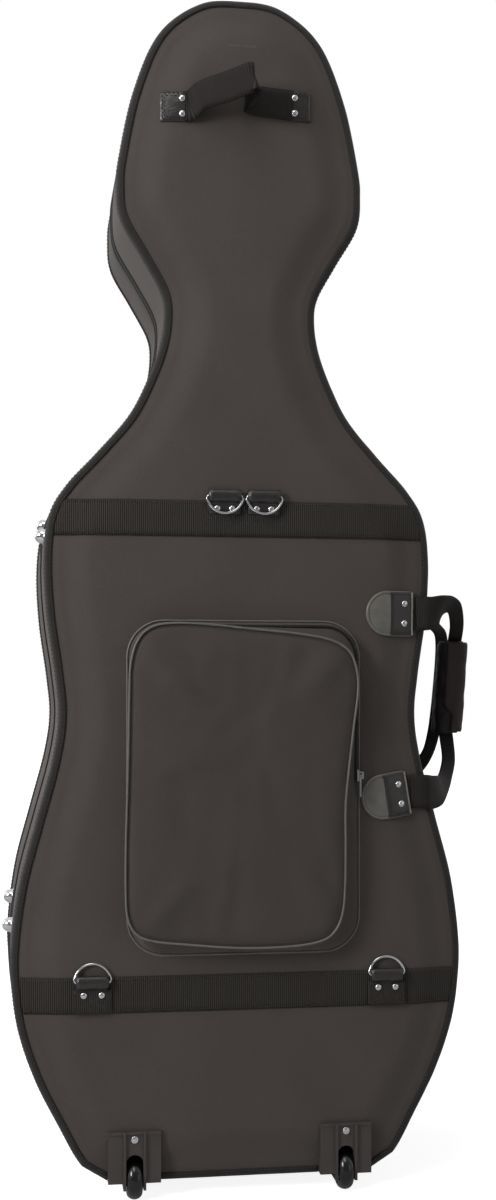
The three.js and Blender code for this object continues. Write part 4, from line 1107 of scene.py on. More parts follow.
class PanelSurface:
    """Finds places on a finished panel, so that what lies on it follows its form."""

    def __init__(self, obj: Piece, panel: Panel) -> None:
        """Keeps a search tree of the panel's faces."""
        self.tree = BVHTree.FromPolygons(
            [v.co for v in obj.data.vertices], [p.vertices for p in obj.data.polygons]
        )
        self.panel = panel

    def place(self, x: float, z: float, level: float = 0.0) -> tuple[Points, Points]:
        """Returns the point and normal on the panel at X and Z, raised by a level."""
        sign = self.panel.sign
        start = row_point(x, sign * 500.0, z)
        hit, normal, _, _ = self.tree.ray_cast(start, Vector((0, -sign, 0)))
        if hit is None:
            return np.array((x, 0.0, z)), np.array((0.0, sign, 0.0))
        point = (np.array(hit) - SHIFT) / MM
        out = np.array(normal) * (1.0 if normal.y * sign > 0 else -1.0)
        return point + out * level, out

    def along(self, path: Points, level: float = 0.0) -> tuple[Points, Points]:
        """Returns points and normals on the panel along a path of X and Z."""
        found = [self.place(x, z, level) for x, z in path]
        return np.array([f[0] for f in found]), np.array([f[1] for f in found])


# Stitching


@dataclass(frozen=True)
class Stitching:
    """A row of lock stitches."""

    length: float = 3.4
    gap: float = 1.3
    radius: float = 0.42

    def geometry(self, path: Points, normals: Points) -> tuple[Points, list[tuple[int, ...]]]:
        """Returns the stitches' points and faces along a path with surface normals.

        Args:
            path: Points along the line.
            normals: Surface normals at the path's points.

        Returns:
            The points and the faces.
        """
        pitch = self.length + self.gap
        lengths = arc_lengths(path)
        count = max(1, int(lengths[-1] / pitch))
        starts = (np.arange(count) + 0.5) / count * lengths[-1]
        ahead = at_runs(path, lengths, starts + self.length / 2)
        tangent = unit(ahead - at_runs(path, lengths, starts - self.length / 2))
        normal = unit(at_runs(normals, lengths, starts))
        side = np.cross(tangent, normal)
        middle = at_runs(path, lengths, starts)
        profile = (
            (-0.5, 0.25, -0.5), (-0.32, 0.9, 0.25), (0.0, 1.0, 0.45), (0.32, 0.9, 0.25), (0.5, 0.25, -0.5)
        )
        sides = 6
        points, faces = [], []
        angles = np.arange(sides) * 2 * math.pi / sides
        for s in range(count):
            start = s * len(profile) * sides
            for along, thick, lift in profile:
                centre = middle[s] + tangent[s] * along * self.length + normal[s] * lift * self.radius
                wheel = np.cos(angles)[:, None] * side[s] + np.sin(angles)[:, None] * normal[s]
                points.append(centre + wheel * self.radius * thick)
            faces += grid_faces(len(profile), sides, closed_columns=True, start=start)
            faces.append(tuple(range(start + sides - 1, start - 1, -1)))
            last = start + (len(profile) - 1) * sides
            faces.append(tuple(range(last, last + sides)))
        return np.concatenate(points), faces

    def build(self, name: str, rows: Sequence[tuple[Points, Points]]) -> Piece:
        """Builds rows of stitches as one object."""
        points, faces = [], []
        for path, normals in rows:
            made, found = self.geometry(path, normals)
            offset = sum(len(p) for p in points)
            points.append(made)
            faces += [tuple(i + offset for i in f) for f in found]
        everything = np.concatenate(points)
        return make_object(name, everything, faces, everything[:, (0, 2)])


STITCHES = Stitching()
FINE_STITCHES = Stitching(length=2.6, gap=1.0, radius=0.34)


# Sub-assemblies


@dataclass
class Shells:
    """The two shells with their linings, seen from outside and, when the lid is open, from inside."""

    wall: float = 12.0
    seat: float = 0.3
    lining: float = 6.0
    well_half: float = 13.0
    well_depth: float = 24.0
    well_top: float = 44.5
    boss_wall: float = 8.0
    surfaces: dict[Side, PanelSurface] = field(default_factory=dict)

    def well(self, side: int, grow: float) -> Piece:
        """Returns a cutter for one wheel's well, grown by a distance."""
        x = side * WHEEL_OFFSET
        half = self.well_half + grow
        return box_object(
            "well", (x - half, -CUT_REACH, -CUT_REACH),
            (x + half, self.well_depth + grow, self.well_top + grow)
        )

    def build(self) -> None:
        """Builds both shells and their linings."""
        outer_lining = -self.wall - self.seat
        for panel, body, shell_node, liner_node in (
            (BACK_PANEL, Body.BACK, "back_shell", "back_liner"),
            (LID_PANEL, Body.LID, "lid_shell", "lid_liner"),
        ):
            shell = ShellForm(panel, 0.0, -self.wall, uneven=0.55).build(f"{panel.side.value}_shell_skin")
            self.surfaces[panel.side] = PanelSurface(shell, panel)
            lining = ShellForm(
                panel, outer_lining, outer_lining - self.lining
            ).build(f"{panel.side.value}_lining")
            if panel.side is Side.BACK:
                cut(shell, [self.well(side, 0.0) for side in (-1, 1)])
                cut(lining, [self.well(side, self.boss_wall) for side in (-1, 1)])
            settle(shell, SHELL_CLOTH, body, shell_node)
            settle(lining, VELOUR, body, liner_node)
            log.info("%s shell: %d faces", panel.side.value, len(shell.data.polygons))


@dataclass
class EdgeTapes:
    """Folded tape sewn over the edge of each panel, with its stitching."""

    seat: float = 0.15
    thickness: float = 1.7
    width: float = 7.5
    wrap: float = 8.0
    bracket_half: float = 29.5
    bracket_top: float = 68.0

    def line(self, panel: Panel) -> list[tuple[float, float, float, float]]:
        """Returns the tape's line over the edge: inset, depth behind it and the outward direction of both.

        Args:
            panel: Form of the shell.

        Returns:
            The line's stations.
        """
        round_ = panel.edge_round
        line = [(0.0, self.wrap, -1.0, 0.0), (0.0, (self.wrap + round_) / 2, -1.0, 0.0)]
        for k in range(7):
            angle = k / 6 * math.pi / 2
            line.append((
                round_ - round_ * math.cos(angle), round_ - round_ * math.sin(angle), -math.cos(angle),
                -math.sin(angle)
            ))
        for share in (0.33, 0.66, 1.0):
            inset = round_ + (self.width - round_) * share
            rise = panel.margin_rise * max(0.0, (inset - round_) / (panel.margin - round_)) ** 1.5
            line.append((inset, -rise, 0.0, -1.0))
        return line

    def rings(self, panel: Panel) -> list[Points]:
        """Returns the rings of the tape's section, top side first and then the underside.

        Args:
            panel: Form of the shell.

        Returns:
            The rings, top side first.
        """
        line = self.line(panel)
        count = len(OUTLINE.points())
        pucker = np.array([uneven(s / 16.0, 3.7, 0.0) for s in OUTLINE.run()])
        top, under = [], []
        for k, (inset, behind, out_inset, out_behind) in enumerate(line):
            share = k / (len(line) - 1)
            puff = plateau(share, 5) * self.thickness + 0.18 * pucker * math.sin(math.pi * share)
            lift = self.seat + np.broadcast_to(puff, count)
            top.append(panel.ring(inset + out_inset * lift, behind + out_behind * lift))
            under.append(panel.ring(
                inset + out_inset * self.seat * 0.5, behind + out_behind * self.seat * 0.5
            ))
        return top + under[::-1]

    def stitch_rows(self, panel: Panel) -> list[tuple[Points, Points]]:
        """Returns the stitch lines near the tape's two edges."""
        lift = self.seat + self.thickness * 0.9
        face_rise = panel.margin_rise * (
            (self.width - 2.2 - panel.edge_round) / (panel.margin - panel.edge_round)
        ) ** 1.5
        face = panel.ring(self.width - 2.2, -face_rise - lift)
        wall = panel.ring(-lift, self.wrap - 1.8)
        outward = np.zeros_like(face)
        outward[:, 1] = panel.sign
        return [(looped(face), looped(outward)), (looped(wall), looped(OUTLINE.wall_normals()))]

    def build(self) -> None:
        """Builds the tapes and stitches of both panels."""
        for panel, body, nodes in (
            (BACK_PANEL, Body.BACK, ("back_binding", "back_binding_base")),
            (LID_PANEL, Body.LID, ("lid_binding",)),
        ):
            rings = self.rings(panel)
            grid = np.array(rings)
            run = OUTLINE.run()
            uv = np.stack(
                [
                    np.broadcast_to(run, grid.shape[:2]),
                    np.broadcast_to(np.arange(len(rings))[:, None] * 1.6, grid.shape[:2])
                ],
                2
            )
            tape = grid_object(
                f"{panel.side.value}_edge_tape", grid, closed_rows=True, closed_columns=True, uv=uv
            )
            if panel.side is Side.BACK:
                reach = self.bracket_half
                cut(tape, [
                    box_object(
                        "bracket", (x - reach, -CUT_REACH, -CUT_REACH),
                        (x + reach, CUT_REACH, self.bracket_top)
                    )
                    for x in (-WHEEL_OFFSET, WHEEL_OFFSET)
                ])
            settle(tape, TAPE_CLOTH, body, *nodes)
            stitches = STITCHES.build(f"{panel.side.value}_edge_stitches", self.stitch_rows(panel))
            settle(stitches, THREAD, body)
            log.info("%s edge tape: %d faces", panel.side.value, len(tape.data.polygons))


@dataclass
class ZipClosure:
    """Zip tapes at the parting line with coils, slider and pull, and the cloth hinge on the left."""

    seat: float = 0.3
    thickness: float = 1.2
    width: float = 14.0
    tooth_pitch: float = 3.1
    tooth: tuple[float, float, float] = (1.5, 2.6, 1.5)
    hinge_low: float = 318.0
    hinge_high: float = 712.0

    def wall_ring(self, panel: Panel, grow: float, from_parting: float) -> Points:
        """Returns a ring on a wall at a distance from the parting gap."""
        return panel.ring(-grow, panel.wall_height() - from_parting)

    def build_tape(self, panel: Panel, body: Body, node: str) -> None:
        """Builds one shell's zip tape.

        Args:
            panel: Form of the shell.
            body: Body that the piece rides on.
            node: CAD node that it stands for.
        """
        lines = [(0.0, 0.3), (0.6, 1.0), (2.0, 1.0), (self.width - 1.5, 1.0), (self.width, 0.4)]
        top = [self.wall_ring(panel, self.seat + self.thickness * h, d) for d, h in lines]
        under = [self.wall_ring(panel, self.seat * 0.6, d) for d in (self.width, 0.0)]
        grid = np.array(top + under)
        run = OUTLINE.run()
        uv = np.stack([np.broadcast_to(run, grid.shape[:2]), grid[:, :, 1]], 2)
        tape = grid_object(
            f"{panel.side.value}_zip_tape_cloth", grid, closed_rows=True, closed_columns=True, uv=uv
        )
        settle(tape, ZIP_CLOTH, body, node)
        seam = self.wall_ring(panel, self.seat + self.thickness, self.width - 3.0)
        rows = [(looped(seam), looped(OUTLINE.wall_normals()))]
        settle(FINE_STITCHES.build(f"{panel.side.value}_zip_stitches", rows), THREAD, body)

    def build_teeth(self, panel: Panel, body: Body) -> None:
        """Builds one half of the zip's coil, as a row of turns outside the hinge.

        Args:
            panel: Form of the shell.
            body: Body that the piece rides on.
        """
        centre = self.wall_ring(panel, self.seat + self.thickness + 0.2, self.tooth[1] / 2 - 0.5)
        closed = looped(centre)
        lengths = arc_lengths(closed)
        count = int(lengths[-1] / self.tooth_pitch)
        runs = (np.arange(count) + (0.0 if panel.side is Side.BACK else 0.5)) * lengths[-1] / count
        middle = at_runs(closed, lengths, runs)
        tangent = unit(at_runs(closed, lengths, runs + 0.8) - middle)
        across = np.broadcast_to(np.array((0.0, 1.0, 0.0)), middle.shape)
        out = unit(np.cross(across, tangent))
        inside = (middle[:, 0] < 0) & (middle[:, 2] > self.hinge_low) & (middle[:, 2] < self.hinge_high)
        corners = [
            (-1, -1, -0.6), (1, -1, -0.6), (1, 1, -0.6), (-1, 1, -0.6), (-0.6, -0.8, 0.6), (0.6, -0.8, 0.6),
            (0.6, 0.8, 0.6), (-0.6, 0.8, 0.6)
        ]
        faces_of_one = [(0, 1, 2, 3), (7, 6, 5, 4), (0, 4, 5, 1), (1, 5, 6, 2), (2, 6, 7, 3), (3, 7, 4, 0)]
        points, faces = [], []
        for m, t, a, o, hidden in zip(middle, tangent, across, out, inside):
            if hidden:
                continue
            start = len(points) * 8
            points.append(np.array([
                m + t * u * self.tooth[0] / 2 + a * v * self.tooth[1] / 2 + o * w * self.tooth[2] for u, v,
                w in corners
            ]))
            faces += [tuple(start + i for i in f) for f in faces_of_one]
        teeth = make_object(f"{panel.side.value}_zip_coil", np.concatenate(points), faces)
        face_outwards(teeth)
        settle(teeth, ZIP_TEETH, body)

    def build_hinge(self) -> None:
        """Builds the strip of cloth that joins the shells on the left."""
        back = self.wall_ring(BACK_PANEL, 0.0, 0.0)
        keep = (back[:, 0] < 0) & (back[:, 2] > self.hinge_low) & (back[:, 2] < self.hinge_high)
        rows = []
        for panel, distance in ((BACK_PANEL, 16.0), (BACK_PANEL, 9.0), (BACK_PANEL, 3.0), (BACK_PANEL, 0.3),
                                (LID_PANEL, 0.3), (LID_PANEL, 3.0), (LID_PANEL, 9.0), (LID_PANEL, 16.0)):
            lift = self.seat + self.thickness + 0.35 + (0.9 if distance < 1 else 0.4 if distance < 4 else 0.0)
            rows.append(self.wall_ring(panel, lift, distance)[keep])
        under = [row + np.array((0.5, 0.0, 0.0)) for row in rows[::-1]]
        grid = np.array(rows + under)
        uv = np.stack([grid[:, :, 2], grid[:, :, 1]], 2)
        strip = grid_object("cloth_hinge", grid, closed_rows=True, uv=uv)
        strip.data.materials.append(SHELL_CLOTH.material())
        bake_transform(strip)

    def build(self) -> None:
        """Builds both tapes, both coils and the hinge."""
        for panel, body, node in (
            (BACK_PANEL, Body.BACK, "back_zip_tape"), (LID_PANEL, Body.LID, "lid_zip_tape")
        ):
            self.build_tape(panel, body, node)
            self.build_teeth(panel, body)
        self.build_hinge()
        dress_node("zip_slider", BLACK_METAL, 0.4)
        dress_node("zip_pull", BLACK_METAL, 0.3)
        log.info("zip closure and cloth hinge")


@dataclass
class Bands:
    """Webbing bands sewn across the back panel."""

    heights: dict[str, float] = field(default_factory=lambda: {"upper_band": 741.0, "lower_band": 218.0})
    width: float = 40.0
    thickness: float = 1.7
    pitch: float = 3.0
    edge: float = 7.5
    crosses: dict[str, tuple[tuple[float, float, float, float], ...]] = field(default_factory=lambda: {
        "upper_band": ((-43.0, 1.0, 735.0, 757.0), (4.0, 46.0, 735.0, 757.0)),
    })

    def build(self, surface: PanelSurface) -> None:
        """Builds both bands and their two rows of stitches.

        Args:
            surface: Finished panel that the piece lies on.
        """
        outline = OUTLINE.points()
        right = outline[:OUTLINE.rungs + 1]
        for node, height in self.heights.items():
            rows = []
            across = np.linspace(-0.5, 0.5, 9)
            for share in across:
                z = height + share * self.width
                reach = np.interp(-z, -right[:, 1], right[:, 0]) - self.edge
                x = np.linspace(-reach, reach, int(2 * reach / self.pitch))
                rows.append((x, z, share))
            count = min(len(x) for x, _, _ in rows)
            grid_top, grid_low = [], []
            for x, z, share in rows:
                path = np.stack([np.linspace(x[0], x[-1], count), np.full(count, z)], 1)
                edge = 1 - abs(2 * share) ** 8
                top, _ = surface.along(path, 0.2 + self.thickness * (0.35 + 0.65 * edge))
                low, _ = surface.along(path, 0.05)
                grid_top.append(top)
                grid_low.append(low)
            grid = np.array(grid_top + grid_low[::-1])
            uv = panel_uv(grid)
            band = grid_object(f"{node}_webbing", grid, closed_rows=True, uv=uv)
            settle(band, BAND_WEBBING, Body.BACK, node)
            seams = []
            for share in (-0.43, 0.43):
                z = height + share * self.width
                reach = np.interp(-z, -right[:, 1], right[:, 0]) - self.edge - 3
                path = np.stack([np.linspace(-reach, reach, 160), np.full(160, z)], 1)
                seams.append(surface.along(path, 0.25 + self.thickness))
            for left, right_end, low_z, high_z in self.crosses.get(node, ()):
                corners = (
                    (left, low_z), (right_end, low_z), (right_end, high_z), (left, high_z), (left, low_z)
                )
                for line in (corners, (corners[0], corners[2]), (corners[1], corners[3])):
                    seams.append(surface.along(resampled(np.array(line), 2.0), 0.25 + self.thickness))
            settle(FINE_STITCHES.build(f"{node}_stitches", seams), THREAD, Body.BACK)
            log.info("%s: %d faces", node, len(band.data.polygons))


def strap_grid(keys: Sequence[tuple[
    Sequence[float], Sequence[float], float
]], thickness: float, steps: int = 8,
               sides: int = 7) -> tuple[Points, Points]:
    """Returns the grid of a flat strap and its texture places.

    Args:
        keys: Stations along the strap, each its middle, the direction of its width and its width.
        thickness: Thickness of the webbing.
        steps: Rows between stations.
        sides: Points across each face.

    Returns:
        Points shaped rows by columns by 3, and texture places shaped rows by columns by 2.
    """
    middles = spline(np.array([k[0] for k in keys]), steps)
    across = unit(spline(np.array([k[1] for k in keys]), steps))
    widths = spline(np.array([[k[2]] for k in keys]), steps)[:, 0]
    tangent = unit(np.gradient(middles, axis=0))
    across = unit(across - tangent * np.sum(across * tangent, 1, keepdims=True))
    face = np.cross(tangent, across)
    shares = np.linspace(-1, 1, sides)
    section = [(s, 0.5 * thickness * (1 - 0.45 * abs(s) ** 10)) for s in shares]
    section += [(s, -h) for s, h in section[::-1]]
    length = arc_lengths(middles)
    grid = np.array([
        [m + a * s * w / 2 + f * h for s, h in section] for m, a, f, w in zip(middles, across, face, widths)
    ])
    uv = np.array([[(u, s * w / 2) for s, _ in section] for u, w in zip(length, widths)])
    return grid, uv


@dataclass
class NeckHandle:
    """Webbing loop between two riveted leatherette tabs near the head; the right tab sits a little higher."""

    centre: float = -3.0
    width: float = 33.0
    thickness: float = 2.6
    inner: float = 53.2
    heights: tuple[float, float] = (1194.2, 1201.7)
    tab_widths: tuple[float, float] = (33.3, 27.2)
    tab_height: float = 33.0
    tab_thickness: float = 2.2
    rivet_inset: float = 9.5
    rivet_spacing: float = 17.0

    def build_tab(self, surface: PanelSurface, side: int, width: float, height: float) -> None:
        """Builds one tab with its double seam and two rivets.

        Args:
            surface: Finished panel that the piece lies on.
            side: -1 for the left tab, 1 for the right.
            width: Width of the tab.
            height: Height of the middle or of the head.
        """
        name = "left" if side < 0 else "right"
        near, far = self.centre + side * self.inner, self.centre + side * (self.inner + width)
        low, high = height - self.tab_height / 2, height + self.tab_height / 2
        columns, rows = 18, 18
        grid_top, grid_low = [], []
        for j in range(rows + 1):
            z = low + (high - low) * j / rows
            path = np.stack([np.linspace(near, far, columns + 1), np.full(columns + 1, z)], 1)
            edge_z = plateau(j / rows, 8)
            swell = [0.5 * uneven(x / 9.0, z / 9.0, side) for x, _ in path]
            levels = [0.6 + self.tab_thickness * (
                0.4 + 0.6 * edge_z * plateau(i / columns, 8)
            ) + swell[i] * edge_z
                      for i in range(columns + 1)]
            grid_top.append([surface.place(x, zz, level)[0] for (x, zz), level in zip(path, levels)])
            grid_low.append([surface.place(x, zz, 0.1)[0] for x, zz in path])
        grid = np.array(grid_top + grid_low[::-1])
        uv = panel_uv(grid)
        tab = grid_object(f"neck_tab_{name}_leatherette", grid, closed_rows=True, uv=uv)
        settle(tab, LEATHERETTE, Body.BACK, f"neck_tab_{name}")
        a, b = sorted((near, far))
        seams = []
        for inset in (2.2, 4.6):
            corners = np.array([(a + inset, low + inset), (b - inset, low + inset), (b - inset, high - inset),
                                (a + inset, high - inset), (a + inset, low + inset)])
            seams.append(surface.along(resampled(corners, 3.0), 0.75 + self.tab_thickness))
        settle(STITCHES.build(f"neck_tab_{name}_stitches", seams), THREAD, Body.BACK)
        x = self.centre + side * (self.inner + self.rivet_inset)
        places = [
            surface.place(x, height + end * self.rivet_spacing / 2, 0.5 + self.tab_thickness)
            for end in (-1, 1)
        ]
        build_rivets(f"neck_{name}_rivet_heads", places, f"neck_rivets_{name}")

    def loop_keys(self) -> list[tuple[Points, Points, float]]:
        """Returns the loop's stations, up from the left tab to a folded peak and flat to the right tab."""
        up, lean, back = (0, 0, 1), (-0.16, 0, 1), (-0.34, 0.1, 1)
        stations = (
            ((-64.0, -11.7, 1194.2), up), ((-58.0, -12.2, 1194.6), up), ((-53.0, -15.0, 1198.0), up),
            ((-47.0, -19.5, 1202.5), up), ((-38.0, -25.0, 1205.5), up), ((-20.0, -36.0, 1208.0), lean),
            ((-2.0, -45.5, 1212.6), lean), ((6.5, -49.6, 1215.0), back), ((10.0, -46.5, 1213.6), back),
            ((8.2, -36.0, 1209.0), back), ((4.8, -24.0, 1206.6), lean), ((4.4, -16.4, 1207.5), lean),
            ((9.5, -13.1, 1205.5), up), ((20.0, -12.5, 1204.3), up), ((36.0, -12.4, 1203.2), up),
            ((51.0, -12.2, 1202.2), up), ((58.0, -11.7, 1201.8), up),
        )
        return [(np.array(place), np.array(across, float), self.width) for place, across in stations]

    def build(self, surface: PanelSurface) -> None:
        """Builds the tabs and the loop."""
        for side, width, height in zip((-1, 1), self.tab_widths, self.heights):
            self.build_tab(surface, side, width, height)
        grid, uv = strap_grid(self.loop_keys(), self.thickness)
        strap = grid_object("neck_handle_webbing", grid, closed_columns=True, capped=True, uv=uv)
        settle(strap, WEBBING, Body.BACK, "neck_handle")
        log.info("neck handle")


def build_rivets(
    name: str, places: Sequence[tuple[Points, Points]], node: str, radius: float = 3.8, height: float = 2.4
) -> None:
    """Builds domed rivet heads, in place of a CAD node."""
    obj = joined(
        name, [turned_object("head", dome(radius, height), point, normal, 40) for point, normal in places]
    )
    obj.data.polygons.foreach_set("use_smooth", [True] * len(obj.data.polygons))
    settle(obj, CHROME, Body.BACK, node)


@dataclass
class StrapRings:
    """D-rings in folded tabs on the bands."""

    ring_radius: float = 20.0
    wire: float = 1.55
    corner: float = 3.5
    tab_width: float = 36.0
    roll_radius: float = 4.6
    roll_stretch: float = 1.55
    roll_depth: float = -15.4
    tail: float = 20.0
    rivet_drop: float = 14.0
    rivet_spacings: tuple[float, float] = (16.5, 19.5)
    rest_tilt: float = 10.0
    lean: float = 11.5
    spots: tuple[tuple[str, float, float, bool], ...] = (
        ("upper_left", -19.0, 766.0, False), ("upper_right", 25.0, 766.0, False),
        ("lower_left", -164.0, 233.0, True), ("lower_right", 164.0, 233.0, True),
    )

    def ring_path(self) -> Points:
        """Returns the ring's wire path in X and Z, bar first, hanging below the bar."""
        bar = self.ring_radius - self.corner
        path = [(-bar, 0.0), (0.0, 0.0), (bar, 0.0)]
        turn = 0.16
        for k in range(25):
            angle = turn + (math.pi - 2 * turn) * k / 24
            path.append((self.ring_radius * math.cos(angle), -self.ring_radius * math.sin(angle)))
        return spline(np.array(path), 4, closed=True)

    def build_tab(self, name: str, x: float, z: float) -> Piece:
        """Builds a folded tab: a roll round the bar and a tail under the rivets.

        Args:
            name: Name of the piece.
            x: X of the middle.
            z: Z of the ring's bar.

        Returns:
            The folded tab.
        """
        half = self.tab_width / 2
        back = FIELD_LEVEL - 2.6
        roll = [(
            self.roll_depth + self.roll_radius * math.cos(a),
            z + self.roll_radius * self.roll_stretch * math.sin(a)
        )
                for a in np.linspace(math.radians(20), math.radians(250), 16)]
        front = [
            (back - 3.4, z - 7.6), (back - 2.7, z - 9.5), (back - 2.7, z - self.tail + 0.6),
            (back - 2.1, z - self.tail)
        ]
        under = [(back, z - self.tail), (back, z - 6.0), (back, z)]
        section = roll + front + under
        columns = np.linspace(-half, half, 9)
        grid = np.array([
            [
                (x + c * (1.0 if 2 < i < len(section) - 2 else 0.995), y, zz) for i,
                (y, zz) in enumerate(section)
            ]
            for c in columns
        ])
        uv = np.stack([np.broadcast_to(columns[:, None], grid.shape[:2]), grid[:, :, 2]], 2)
        return grid_object(f"{name}_ring_tab_fold", grid, closed_columns=True, capped=True, uv=uv)

    def build(self) -> None:
        """Builds tabs, rings and rivets."""
        heads: dict[str, list[tuple[Points, Points]]] = {}
        for name, x, z, up in self.spots:
            tab = self.build_tab(name, x, z)
            settle(tab, LEATHERETTE, Body.BACK, f"{name}_ring_tab")
            path = self.ring_path()
            tilt = math.radians(180 - self.lean if up else -self.rest_tilt)
            turned = np.stack(
                [
                    path[:, 0] + x, self.roll_depth - path[:, 1] * math.sin(tilt),
                    z + path[:, 1] * math.cos(tilt)
                ],
                1
            )
            ring = tube_object(f"{name}_ring_wire", turned, self.wire, 16, closed=True)
            settle(ring, CHROME, f"{name}_d_ring", f"{name}_ring")
            node = "upper_ring_rivets" if name.startswith("upper") else f"{name}_ring_rivets"
            for end in (-1, 1):
                point = np.array((
                    x + end * self.rivet_spacings[up] / 2, FIELD_LEVEL - (6.0 if up else 5.35),
                    z - self.rivet_drop
                ))
                heads.setdefault(node, []).append((point, np.array((0.0, -1.0, 0.0))))
            stitches = []
            level = FIELD_LEVEL - 5.45
            for end in (-1, 1):
                line = resampled(
                    np.array([
                        (x + end * (self.tab_width / 2 - 1.8), z - 6.0),
                        (x + end * (self.tab_width / 2 - 1.8), z - self.tail + 1.5)
                    ]),
                    2.0
                )
                stitches.append((level_path(line, level), facing_back(len(line))))
            settle(FINE_STITCHES.build(f"{name}_ring_tab_stitches", stitches), THREAD, Body.BACK)
            if up:
                self.build_cover(name, x, z)
        for node, places in heads.items():
            build_rivets(f"{node}_heads", places, node)
        log.info("strap rings")

    def build_cover(self, name: str, x: float, z: float) -> None:
        """Builds the webbing patch that covers a lower tab's tail, with its crossed stitches.

        Args:
            name: Name of the piece.
            x: X of the middle.
            z: Z of the ring's bar.
        """
        half, top, low = self.tab_width / 2 + 3.5, z - 7.5, z - self.tail - 14.0
        front, back = FIELD_LEVEL - 5.9, FIELD_LEVEL - 2.0
        rows = np.linspace(low, top, 9)
        columns = np.linspace(x - half, x + half, 17)
        face = np.array([[(
            cx, front + 0.9 * (abs(cx - x) / half) ** 8 + 0.9 * abs(2 * (rz - low) / (top - low) - 1) ** 8, rz
        )
                          for cx in columns] for rz in rows])
        rear = np.array([[(cx, back, rz) for cx in columns] for rz in rows[::-1]])
        grid = np.concatenate([face, rear])
        uv = panel_uv(grid)
        settle(grid_object(f"{name}_ring_tab_cover", grid, closed_rows=True, uv=uv), BAND_WEBBING, Body.BACK)
        a, b = (x - half + 2, low + 2), (x + half - 2, low + 2)
        c, d = (x + half - 2, top - 2), (x - half + 2, top - 2)
        lines = []
        for corners in ((a, b, c, d, a), (a, c), (b, d)):
            line = resampled(np.array(corners), 2.0)
            points = level_path(line, front + 0.1)
            lines.append((points, facing_back(len(line))))
        settle(FINE_STITCHES.build(f"{name}_cover_stitches", lines), THREAD, Body.BACK)


@dataclass(frozen=True)
class TabPlace:
    """How a handle tab sits: X of its outer edge, Z of its middle and its tilt in degrees."""

    edge: float
    z: float
    tilt: float

    def at(self, along: InsetLike, across: InsetLike) -> tuple[InsetLike, InsetLike]:
        """Returns X and Z at a distance along the strap and across it."""
        c, s = math.cos(math.radians(self.tilt)), math.sin(math.radians(self.tilt))
        return self.edge + along * c - across * s, self.z + along * s + across * c

    @property
    def across(self) -> Points:
        """Returns the direction of the strap's width."""
        return np.array((-math.sin(math.radians(self.tilt)), 0.0, math.cos(math.radians(self.tilt))))


def squareness(c: float, s: float, power: float = 3.2) -> float:
    """Returns what turns a circle's point into a rounded square's, from its cosine and sine."""
    return (abs(c) ** power + abs(s) ** power) ** (-1 / power)


